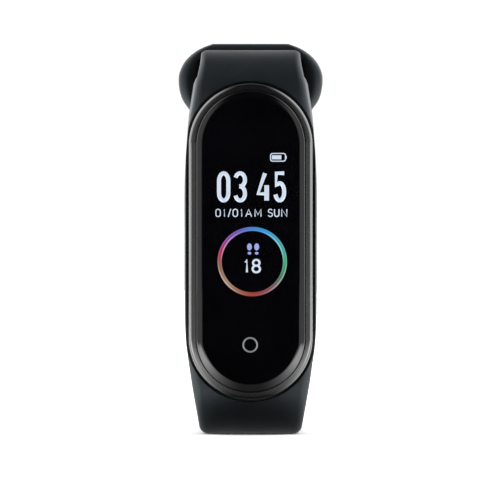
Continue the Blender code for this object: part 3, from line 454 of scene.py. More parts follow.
def makeRingArm():
    half = strap["halfWidth"]
    depth, _, radius = strap["heelBend"]
    stations = run([strap["lowerSeam"], 22.2] + spaced(*flexSpan("lowerBack"), flex["steps"]), -1)
    stations += bend(strap["heelBend"], 270, 360, 26, half)
    thin = strap["thickness"] / 2
    outer, inner = depth + radius + thin, depth + radius - thin
    stations += [((outer, z), (inner, z), half) for z in (-14, -10, -6, -2, 2, 6, 10)]
    for z in spaced(14.1, 29.8, 34):
        ease = min((z - 14.1) / 3.2, 1.0)
        thick = inner - 0.4 * ease
        stations.append(((outer, z), (thick, z), smoothTable(strap["ringPlan"], z)))
    state = strapLoft("strapRingArm", stations)
    steps = []
    for i in range(1, 9):
        a = math.radians(90 * i / 8)
        z = strap["ringTop"] - strap["ringEdge"] * (1 - math.sin(a))
        wide = smoothTable(strap["ringPlan"], z) - 0.5 * (1 - math.cos(a))
        steps.append((z, wide, strap["ringHalf"] - strap["ringEdge"] * (1 - math.cos(a)) * 0.95))
    roundOff(state, steps)
    arm = closeUp(weighted=False)
    cut(arm, slotCutter())
    cut(arm, holeCutters())
    return polish(paintRingShade(arm))


def paintRingShade(arm):  # painted shade: a painted value that darkens the ring's front, inside its rounded rim, where the loop's shade falls
    shade = arm.data.color_attributes.new("ringPaintedShade", "FLOAT_COLOR", "POINT")
    # painted shade: 0 at the rim's edge, rising to 1 on the flat front facing into the loop
    front = at(0, 42.2, 0).y
    for vertex, value in zip(arm.data.vertices, shade.data):
        height = (vertex.co.z - midZ) / mm
        side = smoothTable(strap["ringPlan"], min(max(height, 14.1), 31.0)) - abs(vertex.co.x) / mm
        inside = min(side * 0.9, strap["ringTop"] - height, (height - 17.0) * 0.6)
        amount = min(max((inside - 0.75) / 0.95, 0), 1) if vertex.co.y < front else 0
        value.color = (amount, amount, amount, 1)
    return arm


ringSlot = {"half": 7.85, "low": 20.5, "high": 28.35, "corner": 0.8, "flare": 0.35,
            "start": 40.9, "front": 41.9, "back": 44.5}


def slotCutter():
    low, high = ringSlot["low"], ringSlot["high"]
    middle = (low + high) / 2
    start, half = ringSlot["start"], ringSlot["half"]
    plate("slotCutter", at(0, start, middle), 2 * half, high - low, ringSlot["corner"], 6)
    flare(half, (high - low) / 2, ringSlot["flare"], ringSlot["front"], ringSlot["back"], middle, start)
    tidyMesh()
    return leaveEdit()


def flare(halfX, halfZ, lip, front, back, height, start):
    # extrudes an outline through a wall, wider where it leaves either face, so that the cut has round lips
    stages = [(lip, front)]
    for i in range(1, 6):
        a = math.radians(90 * i / 5)
        stages.append((lip * (1 - math.sin(a)), front + lip * (1 - math.cos(a))))
    stages += [(grow, front + back - depth) for grow, depth in stages[::-1]]
    stages.append((lip, back + 1.0))
    grown, level = 0.0, start
    for i, (grow, depth) in enumerate(stages):
        if i == 0:
            size = ((halfX + grow) / halfX, 1, (halfZ + grow) / halfZ)
            bpy.ops.transform.resize(value=size, center_override=at(0, level, height))
            grown = grow
        pull(depth - level)
        size = ((halfX + grow) / (halfX + grown), 1, (halfZ + grow) / (halfZ + grown))
        bpy.ops.transform.resize(value=size, center_override=at(0, depth, height))
        grown, level = grow, depth


closingHoles = {"count": 10, "start": 11.0, "pitch": 5.0, "halfWidth": 1.4, "extra": 0.2, "lip": 0.3}


def holeCutters():
    depth, height, radius = strap["heelBend"]
    place, thin = depth + radius, strap["thickness"] / 2
    straightRun = ringSlot["low"] - height
    made = []
    for number in range(closingHoles["count"]):
        along = closingHoles["start"] + number * closingHoles["pitch"]
        level = ringSlot["low"] - along
        wide = closingHoles["halfWidth"]
        tall = wide + closingHoles["extra"]
        bpy.ops.mesh.primitive_circle_add(vertices=24, radius=wide * mm, fill_type="NGON",
                                          location=at(0, place - thin - 1, 0),
                                          rotation=(math.pi / 2, math.pi / 24, 0))
        startObject("closingHole")
        for sign in (1, -1):
            pick(lambda v: (v.co.z - at(0, 0, 0).z) * sign > 0)
            bpy.ops.transform.translate(value=(0, 0, sign * closingHoles["extra"] * mm))
        bpy.ops.mesh.select_all(action="SELECT")
        flare(wide, tall, closingHoles["lip"], place - thin, place + thin, 0, place - thin - 1)
        bpy.ops.mesh.select_all(action="SELECT")
        if along <= straightRun:
            bpy.ops.transform.translate(value=(0, 0, level * mm))
        else:
            swing = min((along - straightRun) / radius, math.pi / 2)
            bpy.ops.transform.translate(value=(0, 0, height * mm))
            bpy.ops.transform.rotate(value=swing, orient_axis="X", center_override=at(0, depth, height))
            past = along - straightRun - radius * math.pi / 2
            if past > 0:
                bpy.ops.transform.translate(value=(0, -past * mm, 0))
        tidyMesh()
        made.append(leaveEdit())
    return joinAll(made)


def joinAll(parts):
    only(parts[0])
    for part in parts[1:]:
        part.select_set(True)
    if len(parts) > 1:
        bpy.ops.object.join()
    return bpy.context.object


capsule = {  # profiles are (radius, depth) pairs
    "straight": 14.2, "sides": 144, "rimDepth": -1.0, "rimReach": 8.72,
    "shell": [(5.7, 8.2), (5.7, 6.9), (7.3, 6.9), (7.3, -0.8), (8.0, -0.8), (8.0, -1.9), (8.01, -1.945),
              (8.04, -1.975), (8.08, -1.99), (8.13, -1.99), (8.7, -1.8), (8.75, -1.775), (9.0, -1.54),
              (9.06, -1.46), (9.1, -1.34), (9.1, -0.8), (9.07, -0.66), (8.98, -0.52), (8.84, -0.4),
              (8.7, -0.3), (8.4, -0.3), (8.32, -0.22), (8.3, -0.1), (8.3, 7.0), (8.25, 7.25), (8.12, 7.48),
              (7.9, 7.64), (7.7, 7.7), (6.75, 7.7), (6.7, 7.76), (6.7, 8.6), (6.66, 8.85), (6.52, 9.06),
              (6.3, 9.18), (6.05, 9.2)],
    "glass": [(7.97, -1.7), (7.97, -2.36), (7.95, -2.43), (7.9, -2.485), (7.85, -2.505), (7.46, -2.675),
              (7.4, -2.7), (7.34, -2.722), (7.27, -2.742), (7.2, -2.758), (7.12, -2.772), (7.02, -2.786),
              (6.9, -2.797), (6.8, -2.8)],
    "contactHole": [(1.4, 7.5), (1.4, 9.0), (1.46, 9.12), (1.6, 9.25), (1.6, 10.0)],
}
back = {
    "window": {"size": (8.0, 11.0), "corner": 2.5, "start": 7.5,  # (depth, size) stages of its flared cut
               "stages": [(9.02, 1.0), (9.15, 1.015), (9.25, 1.04), (10.0, 1.04)]},
    "lens": {"half": (3.7, 5.2), "corner": 2.2, "start": 8.3,  # (depth, inset) stages of its round edge
             "stages": [(9.1, 0.0), (9.2, 0.03), (9.28, 0.1), (9.33, 0.22), (9.35, 0.4)]},
    "contact": [(1.5, 7.4), (1.5, 7.9), (1.1, 7.9), (1.1, 9.03), (1.06, 9.14), (0.96, 9.21), (0.82, 9.25),
                (0.5, 9.235), (0.2, 9.22)],
}
snap = {
    "seat": [(4.3, 48.0), (4.05, 47.0), (3.82, 46.85), (3.8, 46.4), (1.85, 46.4), (1.85, 44.0)],
    "disc": [(0.9, 47.0), (0.9, 44.9), (1.6, 44.9), (1.6, 46.7), (3.42, 46.7), (3.5, 46.78), (3.5, 47.32),
             (3.46, 47.45), (3.36, 47.55), (3.22, 47.6), (2.62, 47.6), (2.5, 47.56), (2.42, 47.5),
             (2.3, 47.48)],
    "pin": [(0.6, 46.7), (0.6, 44.6), (1.0, 44.6), (1.0, 42.2), (1.1, 42.0), (1.18, 41.85), (1.2, 41.7),
            (1.16, 41.5), (1.02, 41.35), (0.8, 41.24), (0.5, 41.2)],
}


def makeCapsule(looks):
    turn("capsuleShell", capsule["shell"], sides=capsule["sides"], straight=capsule["straight"])
    shell = closeUp(weighted=False)
    cut(shell, lensWindow(middleOf("sensor_lens")[2]))
    for node in ("charge_contact_left", "charge_contact_right"):
        x, _, height = middleOf(node)
        turn("contactHole", capsule["contactHole"], (x, height), 48)
        cut(shell, leaveEdit())
    polish(shell, 30)
    wear(shell, looks["shell"], "capsule", ("capsule_shell",))
    shell.data.materials.append(looks["rim"])
    front = at(0, capsule["rimDepth"], 0).y
    for face in shell.data.polygons:  # the flange's front and side are polished
        face.material_index = int(face.center.y < front and reachOut(face.center) > capsule["rimReach"])

    turn("coverGlass", capsule["glass"], sides=capsule["sides"], straight=capsule["straight"])
    glass = closeUp(50)
    wear(glass, looks["glass"], "capsule", ("cover_glass",))
    print("capsule: shell and glass")


def reachOut(point):  # distance from the capsule's long middle line, in millimetres
    up = max(abs(point.z - midZ) / mm - capsule["straight"], 0)
    return math.hypot(point.x / mm, up)


def lensWindow(height):
    plan = back["window"]
    level, size = plan["start"], 1.0
    plate("lensWindow", at(0, level, height), *plan["size"], plan["corner"], 12)
    for depth, grow in plan["stages"]:
        pull(depth - level)
        bpy.ops.transform.resize(value=(grow / size, 1, grow / size), center_override=at(0, depth, height))
        level, size = depth, grow
    tidyMesh()
    return leaveEdit()


def makeBackDetails(looks):
    plan = back["lens"]
    height, level = middleOf("sensor_lens")[2], plan["start"]
    wide, tall = plan["half"]
    plate("sensorLens", at(0, level, height), 2 * wide, 2 * tall, plan["corner"], 12)
    for depth, inset in plan["stages"]:
        pull(depth - level)
        nextWide, nextTall = plan["half"][0] - inset, plan["half"][1] - inset
        size = (nextWide / wide, 1, nextTall / tall)
        bpy.ops.transform.resize(value=size, center_override=at(0, depth, height))
        level, wide, tall = depth, nextWide, nextTall
    wear(closeUp(40), looks["lens"], "capsule", ("sensor_lens",))

    for side in ("left", "right"):
        node = "charge_contact_" + side
        x, _, height = middleOf(node)
        turn("chargeContact" + side.title(), back["contact"], (x, height), 48)
        wear(closeUp(40), looks["gold"], "capsule", (node,))

    x, _, height = middleOf("button_disc")
    turn("buttonDisc", snap["disc"], (x, height), 96)
    wear(closeUp(40), looks["button"], "tail", ("button_disc",))
    turn("buttonPin", snap["pin"], (x, height), 48)
    wear(closeUp(40), looks["button"], "tail", ("button_pin",))
    print("back: lens, contacts and snap button")


dial = {
    "glass": -2.8, "proud": 0.012,
    "digits": {"low": 5.7, "high": 10.4, "stroke": 0.68,
               "places": [("0", -5.0, -2.95), ("3", -2.6, -0.5), ("4", 0.75, 3.05), ("5", 3.3, 5.3)]},
    "date": {"low": 3.6, "high": 4.85, "stroke": 0.17,
             "places": [("0", -5.2, -4.38), ("1", -4.02, -3.75), ("/", -3.4, -2.85), ("0", -2.68, -1.85),
                        ("1", -1.5, -1.2), ("A", -0.8, 0.22), ("M", 0.55, 1.6), ("S", 2.5, 3.28),
                        ("U", 3.42, 4.25), ("N", 4.48, 5.4)]},
    "count": {"low": -4.7, "high": -2.5, "stroke": 0.36, "places": [("1", -0.95, -0.3), ("8", 0.1, 1.55)]},
    "ring": {"centre": (0.24, -2.95), "outer": 5.15, "stroke": 0.68},
    "key": {"centre": (-0.07, -15.2), "outer": 1.15, "stroke": 0.26},
    "battery": {"left": 2.85, "right": 5.2, "low": 11.75, "high": 13.05, "stroke": 0.17, "corner": 0.28,
                "charge": (3.12, 4.52, 12.05, 12.75)},
    "soles": [(0.885, -0.78), (-0.18, -0.78)],
}


def sweepArc(cx, cz, rx, rz, start, end, steps=10):
    return [(cx + rx * math.cos(math.radians(a)), cz + rz * math.sin(math.radians(a)))
            for a in spaced(start, end, steps)]


def glyphLines(mark):  # strokes in a unit box, lower left to upper right; True closes a stroke
    lines = {
        "0": [(sweepArc(0.5, 0.72, 0.5, 0.28, 0, 180) + sweepArc(0.5, 0.28, 0.5, 0.28, 180, 360), True)],
        "1": [([(0.0, 0.78), (0.75, 1.0), (0.75, 0.0)], False)],
        "3": [(sweepArc(0.5, 0.76, 0.5, 0.24, 160, 0) + sweepArc(0.5, 0.76, 0.5, 0.24, 0, -68, 5)
               + [(0.42, 0.52)], False),
              ([(0.42, 0.52)] + sweepArc(0.5, 0.26, 0.5, 0.26, 72, 0, 6)
               + sweepArc(0.5, 0.26, 0.5, 0.26, 0, -162), False)],
        "4": [([(1.0, 0.25), (0.0, 0.25), (0.62, 1.0)], False), ([(0.78, 0.56), (0.78, 0.0)], False)],
        "5": [([(0.98, 1.0), (0.1, 1.0), (0.06, 0.55)]
               + sweepArc(0.48, 0.32, 0.5, 0.32, 120, -162, 14), False)],
        "8": [(sweepArc(0.5, 0.76, 0.44, 0.24, 0, 360, 20)[:-1], True),
              (sweepArc(0.5, 0.27, 0.5, 0.27, 0, 360, 20)[:-1], True)],
        "/": [([(0.0, -0.05), (1.0, 1.05)], False)],
        "A": [([(0.0, 0.0), (0.5, 1.0), (1.0, 0.0)], False), ([(0.2, 0.33), (0.8, 0.33)], False)],
        "M": [([(0.0, 0.0), (0.0, 1.0), (0.5, 0.25), (1.0, 1.0), (1.0, 0.0)], False)],
        "S": [(sweepArc(0.5, 0.76, 0.46, 0.24, 20, 270, 12)
               + sweepArc(0.5, 0.26, 0.5, 0.26, 90, -160, 12), False)],
        "U": [([(0.0, 1.0)] + sweepArc(0.5, 0.34, 0.5, 0.34, 180, 360) + [(1.0, 1.0)], False)],
        "N": [([(0.0, 0.0), (0.0, 1.0), (1.0, 0.0), (1.0, 1.0)], False)],
    }
    return lines[mark]


def inkStroke(name, points, stroke, closed):  # a flat line of ink with an even width, just proud of the glass
    curve = bpy.data.curves.new(name, "CURVE")
    curve.dimensions = "3D"
    spline = curve.splines.new("POLY")
    spline.points.add(len(points) - 1)
    for point, (x, height) in zip(spline.points, points):
        point.co = (x * mm, 0, height * mm, 1)
    spline.use_cyclic_u = closed
    curve.bevel_depth = stroke * mm / 2
    curve.bevel_resolution = 1
    curve.use_fill_caps = True
    line = bpy.data.objects.new(name, curve)
    bpy.context.scene.collection.objects.link(line)
    only(line)
    bpy.ops.object.convert(target="MESH")
    line = bpy.context.object
    line.scale = (1, 2 * dial["proud"] / stroke, 1)
    line.location = at(0, dial["glass"], 0)
    bpy.ops.object.transform_apply()
    return line


def joined(name, parts):
    piece = joinAll(parts)
    piece.name = piece.data.name = name
    bpy.ops.object.mode_set(mode="EDIT")
    bpy.ops.mesh.select_all(action="SELECT")
    bpy.ops.mesh.normals_make_consistent(inside=False)
    bpy.ops.object.mode_set(mode="OBJECT")
    return piece


def writeMarks(name, plan):
    half = plan["stroke"] / 2
    low, high = plan["low"] + half, plan["high"] - half
    parts = []
    for mark, left, right in plan["places"]:
        a, b = left + half, right - half
        for points, closed in glyphLines(mark):
            placed = [(a + u * (b - a), low + v * (high - low)) for u, v in points]
            parts.append(inkStroke(name, placed, plan["stroke"], closed))
    return joined(name, parts)


def circlePoints(centre, radius, steps):
    return sweepArc(centre[0], centre[1], radius, radius, 90, -270, steps)[:-1]


def makeDisplay(looks):
    for name, plan in (("clockDigits", "digits"), ("dateRow", "date"), ("stepCount", "count")):
        wear(writeMarks(name, dial[plan]), looks["ink"], "capsule")
    rings = (("activityRing", "ring", "rainbow", 96), ("touchKeyRing", "key", "keyInk", 48))
    for name, key, look, steps in rings:
        plan = dial[key]
        points = circlePoints(plan["centre"], plan["outer"] - plan["stroke"] / 2, steps)
        loop = inkStroke(name, points, plan["stroke"], True)
        wear(joined(name, [loop]), looks[look], "capsule")

    plan = dial["battery"]
    half, corner = plan["stroke"] / 2, plan["corner"]
    left, right = plan["left"] + half, plan["right"] - half
    low, high = plan["low"] + half, plan["high"] - half
    outline = []
    for cx, cz, start in ((right - corner, high - corner, 0), (left + corner, high - corner, 90),
                          (left + corner, low + corner, 180), (right - corner, low + corner, 270)):
        outline += sweepArc(cx, cz, corner, corner, start, start + 90, 4)
    casing = inkStroke("batteryIcon", outline, plan["stroke"], True)
    x0, x1, z0, z1 = plan["charge"]
    charge = inkStroke("batteryIcon", [(x0, (z0 + z1) / 2), (x1, (z0 + z1) / 2)], z1 - z0, False)
    tipX, tipMid, tipHalf = right + half + 0.02, (low + high) / 2, 0.22
    tip = inkStroke("batteryIcon", [(tipX, tipMid - tipHalf), (tipX, tipMid + tipHalf)], 0.14, False)
    wear(joined("batteryIcon", [casing, charge, tip]), looks["ink"], "capsule")
    wear(makeSoles(), looks["soleInk"], "capsule")
    print("display: clock, date, ring, steps and key")


def makeSoles():
    parts = []
    for x, z in dial["soles"]:
        for width, tall, rise in ((0.36, 0.52, 0.0), (0.27, 0.2, -0.93)):
            centre = at(x, dial["glass"], z + rise)
            bpy.ops.mesh.primitive_uv_sphere_add(segments=24, ring_count=8, radius=1, location=centre)
            bpy.context.object.scale = (width * mm, dial["proud"] * mm, tall * mm)
            bpy.ops.object.transform_apply()
            parts.append(bpy.context.object)
    return joined("stepIcon", parts)


def addNode(tree, kind):
    return tree.nodes.new("ShaderNode" + kind)


def srgb(red, green, blue):
    values = [c / 255 for c in (red, green, blue)]
    return [v / 12.92 if v <= 0.04045 else ((v + 0.055) / 1.055) ** 2.4 for v in values] + [1.0]


def newGroup(name, inputs, outputs):
    group = bpy.data.node_groups.new(name, "ShaderNodeTree")
    for label, value in inputs:
        socket = group.interface.new_socket(name=label, in_out="INPUT", socket_type="NodeSocketFloat")
        socket.default_value = value
    for label in outputs:
        group.interface.new_socket(name=label, in_out="OUTPUT", socket_type="NodeSocketFloat")
    return group, group.nodes.new("NodeGroupInput"), group.nodes.new("NodeGroupOutput")


def mathNode(tree, operation, first, second=None, clamp=False):
    node = addNode(tree, "Math")
    node.operation = operation
    node.use_clamp = clamp
    for socket, value in zip(node.inputs, (first, second)):
        if value is None:
            continue
        if isinstance(value, bpy.types.NodeSocket):
            tree.links.new(value, socket)
        else:
            socket.default_value = value
    return node.outputs[0]


def axes(tree, kind="Object"):  # the three parts of a coordinate
    split = addNode(tree, "SeparateXYZ")
    tree.links.new(addNode(tree, "TexCoord").outputs[kind], split.inputs[0])
    return split.outputs


def mapRange(tree, value, **limits):  # limits are fromMin, fromMax, toMin and toMax
    names = {"fromMin": "From Min", "fromMax": "From Max", "toMin": "To Min", "toMax": "To Max"}
    node = addNode(tree, "MapRange")
    for key, number in limits.items():
        node.inputs[names[key]].default_value = number
    tree.links.new(value, node.inputs["Value"])
    return node.outputs["Result"]


def noiseNode(tree, vector, scale, detail=3.0, roughness=0.55):
    node = addNode(tree, "TexNoise")
    tree.links.new(vector, node.inputs["Vector"])
    if isinstance(scale, bpy.types.NodeSocket):
        tree.links.new(scale, node.inputs["Scale"])
    else:
        node.inputs["Scale"].default_value = scale
    node.inputs["Detail"].default_value = detail
    node.inputs["Roughness"].default_value = roughness
    return node.outputs["Fac"]


def buildMouldGroup():  # fine moulded grain, soft mottling and handling marks
    inputs = [("Grain Scale", 6000.0), ("Grain", 0.6), ("Mottle Scale", 220.0)]
    group, enter, leave = newGroup("mouldedSurface", inputs, ["Height", "Mottle", "Handling"])
    place = addNode(group, "TexCoord").outputs["Object"]
    fine = noiseNode(group, place, enter.outputs["Grain Scale"], 2.0, 0.5)
    broad = noiseNode(group, place, enter.outputs["Mottle Scale"], 4.0, 0.6)
    marks = noiseNode(group, place, 95.0, 6.0, 0.68)
    shaped = mathNode(group, "MULTIPLY", fine, enter.outputs["Grain"])
    height = mathNode(group, "MULTIPLY_ADD", broad, 0.35)
    group.links.new(shaped, height.node.inputs[2])
    spread = mapRange(group, marks, fromMin=0.38, fromMax=0.7)
    group.links.new(height, leave.inputs["Height"])
    group.links.new(broad, leave.inputs["Mottle"])
    group.links.new(spread, leave.inputs["Handling"])
    return group


def buildBrushedGroup():  # lines along one way, for rolled or brushed metal
    inputs = [("Across", 9000.0), ("Along", 250.0)]
    group, enter, leave = newGroup("brushedLines", inputs, ["Height", "Streak"])
    merge = addNode(group, "CombineXYZ")
    for part, key, target in zip(axes(group), ("Along", "Across", "Across"), merge.inputs):
        group.links.new(mathNode(group, "MULTIPLY", part, enter.outputs[key]), target)
    fine = noiseNode(group, merge.outputs[0], 1.0, 2.0, 0.6)
    group.links.new(fine, leave.inputs["Height"])
    group.links.new(fine, leave.inputs["Streak"])
    return group


groups = {"mould": buildMouldGroup(), "brushed": buildBrushedGroup()}


def newLook(name, shader, group=None, values=None):
    look = bpy.data.materials.new(name)
    look.use_nodes = True
    tree = look.node_tree
    bsdf = tree.nodes["Principled BSDF"]
    for key, value in shader.items():
        bsdf.inputs[key].default_value = value
    node = None
    if group:
        node = addNode(tree, "Group")
        node.node_tree = groups[group]
        for key, value in (values or {}).items():
            node.inputs[key].default_value = value
    return look, tree, bsdf, node


def vary(tree, bsdf, mask, dark, light, low=0.3, high=0.7, into="Base Color"):  # colour between two tones
    ramp = addNode(tree, "ValToRGB")
    ramp.color_ramp.elements[0].position, ramp.color_ramp.elements[1].position = low, high
    ramp.color_ramp.elements[0].color, ramp.color_ramp.elements[1].color = dark, light
    tree.links.new(mask, ramp.inputs[0])
    tree.links.new(ramp.outputs[0], bsdf.inputs[into])


def varyRoughness(tree, bsdf, mask, smooth, rough):
    tree.links.new(mapRange(tree, mask, toMin=smooth, toMax=rough), bsdf.inputs["Roughness"])


def bump(tree, bsdf, height, strength, distance):
    node = addNode(tree, "Bump")
    node.inputs["Strength"].default_value = strength
    node.inputs["Distance"].default_value = distance * mm
    tree.links.new(height, node.inputs["Height"])
    tree.links.new(node.outputs[0], bsdf.inputs["Normal"])


def mouldedLook(name, dark, light, smooth, rough, grain=0.35, scale=6000.0, **shader):
    look, tree, bsdf, node = newLook(name, shader, "mould", {"Grain Scale": scale})
    vary(tree, bsdf, node.outputs["Mottle"], dark, light)
    varyRoughness(tree, bsdf, node.outputs["Handling"], smooth, rough)
    bump(tree, bsdf, node.outputs["Height"], grain, 0.02)
    return look


rubber = {"dark": (9, 12, 14), "light": (14, 17, 20), "smooth": 0.44, "rough": 0.54, "specular": 0.32,
          "tint": (0.84, 0.95, 1.0, 1.0)}


def rubberLook(name):
    shine = {"Specular IOR Level": rubber["specular"], "Specular Tint": rubber["tint"]}
    return mouldedLook(name, srgb(*rubber["dark"]), srgb(*rubber["light"]), rubber["smooth"], rubber["rough"],
                       0.3, 7000.0, **shine)


def paintedShadeRubberLook(name):  # the strap's rubber, darkened and made less shiny by the painted shade value
    look = rubberLook(name)
    tree = look.node_tree
    bsdf = tree.nodes["Principled BSDF"]
    paint = addNode(tree, "Attribute")
    paint.attribute_name = "ringPaintedShade"
    blend = addNode(tree, "Mix")
    blend.data_type = "RGBA"
    tree.links.new(paint.outputs["Fac"], blend.inputs[0])
    tree.links.new(bsdf.inputs["Base Color"].links[0].from_socket, blend.inputs[6])
    # near-black colour of the painted shade
    blend.inputs[7].default_value = (0.0003, 0.0004, 0.0005, 1)
    tree.links.new(blend.outputs[2], bsdf.inputs["Base Color"])
    # the painted shade also takes away the rubber's reflection
    shine = mapRange(tree, paint.outputs["Fac"], toMin=rubber["specular"], toMax=0.02)
    tree.links.new(shine, bsdf.inputs["Specular IOR Level"])
    return look


def metalLook(name, dark, light, smooth, rough, along=250.0, grain=0.25):
    look, tree, bsdf, node = newLook(name, {"Metallic": 1.0}, "brushed", {"Along": along})
    vary(tree, bsdf, node.outputs["Streak"], dark, light)
    varyRoughness(tree, bsdf, node.outputs["Streak"], smooth, rough)
    bump(tree, bsdf, node.outputs["Height"], grain, 0.01)
    return look


def glowLook(name, colour, strength):
    look, tree, bsdf, node = newLook(name, {"Base Color": srgb(10, 11, 13), "Roughness": 0.2,
                                            "Emission Strength": strength}, "mould", {"Grain Scale": 9000.0})
    dim = [c * 0.86 for c in colour[:3]] + [1.0]
    vary(tree, bsdf, node.outputs["Mottle"], dim, colour, 0.35, 0.65, "Emission Color")
    return look


ringColours = [(0.0, (70, 130, 200)), (0.07, (30, 150, 215)), (0.16, (40, 160, 165)), (0.25, (60, 160, 120)),
               (0.33, (50, 110, 85)), (0.41, (125, 65, 80)), (0.5, (150, 60, 45)), (0.58, (150, 95, 75)),
               (0.64, (150, 120, 100)), (0.72, (130, 90, 60)), (0.8, (170, 30, 90)), (0.88, (125, 60, 160)),
               (0.95, (95, 95, 185)), (1.0, (70, 130, 200))]


def rainbowLook():  # colour runs clockwise round the ring from its top
    look, tree, bsdf, _ = newLook("ringLight", {"Base Color": srgb(10, 11, 13), "Roughness": 0.2,
                                                "Emission Strength": 1.0})
    place = addNode(tree, "TexCoord")
    centre = addNode(tree, "Mapping")
    centre.inputs["Location"].default_value = -at(dial["ring"]["centre"][0], 0, dial["ring"]["centre"][1])
    tree.links.new(place.outputs["Object"], centre.inputs["Vector"])
    split = addNode(tree, "SeparateXYZ")
    tree.links.new(centre.outputs[0], split.inputs[0])
    angle = mathNode(tree, "ARCTAN2", split.outputs[0], split.outputs[2])
    share = mathNode(tree, "DIVIDE", angle, 2 * math.pi)
    wrapped = mathNode(tree, "FRACT", mathNode(tree, "ADD", share, 1.0))
    ramp = addNode(tree, "ValToRGB")
    elements = ramp.color_ramp.elements
    while len(elements) < len(ringColours):
        elements.new(0.5)
    for element, (position, _) in zip(elements, ringColours):
        element.position = position
    for element, (_, colour) in zip(elements, ringColours):
        element.color = srgb(*colour)
    tree.links.new(wrapped, ramp.inputs[0])
    tree.links.new(ramp.outputs[0], bsdf.inputs["Emission Color"])
    return look


def makeLooks():
    return {
        "strap": rubberLook("strapRubber"),
        "ring": paintedShadeRubberLook("ringRubber"),
        "rim": mouldedLook("polishedRim", srgb(8, 9, 10), srgb(13, 14, 15), 0.08, 0.14, 0.02, IOR=1.75),
        "shell": mouldedLook("shellPlastic", srgb(12, 13, 14), srgb(18, 19, 20), 0.2, 0.3, 0.06),
        "glass": mouldedLook("coverGlass", srgb(2, 2, 3), srgb(4, 4, 6), 0.03, 0.06, 0.004, 400.0),
        "ink": glowLook("displayInk", srgb(212, 226, 244), 1.0),
        "soleInk": glowLook("soleInk", srgb(165, 175, 235), 1.0),
        "keyInk": glowLook("keyInk", srgb(128, 130, 132), 1.0),
        "rainbow": rainbowLook(),
        "lens": mouldedLook("lensGloss", srgb(5, 6, 6), srgb(9, 10, 10), 0.03, 0.07, 0.004, 400.0),
        "gold": metalLook("contactGold", srgb(196, 150, 74), srgb(222, 182, 104), 0.22, 0.34, 9000.0, 0.1),
        "button": metalLook("buttonSteel", srgb(140, 142, 145), srgb(190, 192, 195), 0.26, 0.4, 250.0, 0.2),
        "steel": metalLook("innerSteel", srgb(150, 152, 155), srgb(188, 190, 193), 0.3, 0.42, 300.0, 0.15),
        "foil": metalLook("batteryFoil", srgb(168, 170, 175), srgb(202, 204, 208), 0.28, 0.46, 700.0, 0.3),
        "weight": metalLook("rotorWeight", srgb(126, 124, 121), srgb(160, 158, 155), 0.34, 0.5, 4000.0, 0.3),
        "seal": mouldedLook("sealRubber", srgb(16, 16, 16), srgb(26, 26, 26), 0.7, 0.85, 0.3),
        "film": mouldedLook("blackFilm", srgb(14, 14, 16), srgb(21, 21, 23), 0.42, 0.6, 0.1),
        "panel": mouldedLook("panelGlass", srgb(9, 11, 15), srgb(14, 16, 21), 0.12, 0.24, 0.02),
        "flex": mouldedLook("amberFlex", srgb(128, 78, 22), srgb(168, 110, 38), 0.35, 0.5, 0.1, 3000.0),
        "board": mouldedLook("solderMask", srgb(14, 56, 35), srgb(26, 84, 54), 0.38, 0.55, 0.12, 3500.0),
        "chip": mouldedLook("chipMould", srgb(22, 22, 24), srgb(33, 33, 35), 0.45, 0.62, 0.2, 9000.0),
        "leadRed": mouldedLook("leadRed", srgb(150, 20, 16), srgb(180, 30, 24), 0.4, 0.55, 0.1),
        "leadBlack": mouldedLook("leadBlack", srgb(16, 16, 16), srgb(25, 25, 25), 0.4, 0.55, 0.1),
        "led": glowLook("ledGreen", srgb(96, 205, 120), 0.25),
    }


def dressInside(looks):  # better finishes for the CAD parts that stay
    plan = {
        "seal": ("glass_gasket",),
        "film": ("touch_sensor", "sensor_baffle",),
        "flex": ("touch_flex", "display_flex", "sensor_flex",),
        "panel": ("display_panel",),
        "steel": ("display_bracket", "shield_can", "clock_crystal", "motor_base", "motor_cover",
                 "motor_shaft",),
        "board": ("main_board", "battery_board", "heart_rate_board",),
        "chip": ("processor_chip", "memory_chip", "power_chip", "motion_sensor_chip", "display_connector",
                 "sensor_connector", "photodiode",),
        "foil": ("battery_cell",),
        "leadRed": ("battery_lead_positive",),
        "leadBlack": ("battery_lead_negative",),
        "gold": ("antenna_strip", "contact_spring_left", "contact_spring_right",),
        "weight": ("motor_rotor",),
        "led": ("pulse_led_upper", "pulse_led_lower",),
    }
    for look, nodes in plan.items():
        for node in nodes:
            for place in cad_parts[node].material_slots:
                place.material = looks[look]
    print("inside: finishes on", sum(len(nodes) for nodes in plan.values()), "parts")


studio = {
    "floor": 2.5, "floorGain": 0.75,
    # where reflections brighten on the floor: start and end in metres, then the level at each
    "under": (-0.024, -0.016, 0.06, 0.35), "besideFloor": (-0.034, -0.027, 0.0, 1.0),
    "glow": (0.003, 0.02, 0.0, 3.0), "frontNear": (-0.028, -0.032, 0.0, 1.0),
    "frontFar": (-0.14, -0.06, 0.15, 1.0), "frontAcross": (0.002, 0.03, 0.3, 7.0),
    "overhead": 3.2, "overheadSpread": 60, "overheadTilt": 8,
    "sideWhite": 1.0, "backWhite": 1.0, "dim": 0.03, "seen": 1.05,
    "sideFrom": 0.3, "sideTo": 0.6, "backFrom": 0.15, "backTo": 0.75,
    "cardAt": -0.175, "cardSize": 0.12,
    "edgeFrom": 0.2, "edgeTo": 0.7, "edgeWhite": 4.0, "besideFrom": -0.3, "besideTo": -0.1,
}


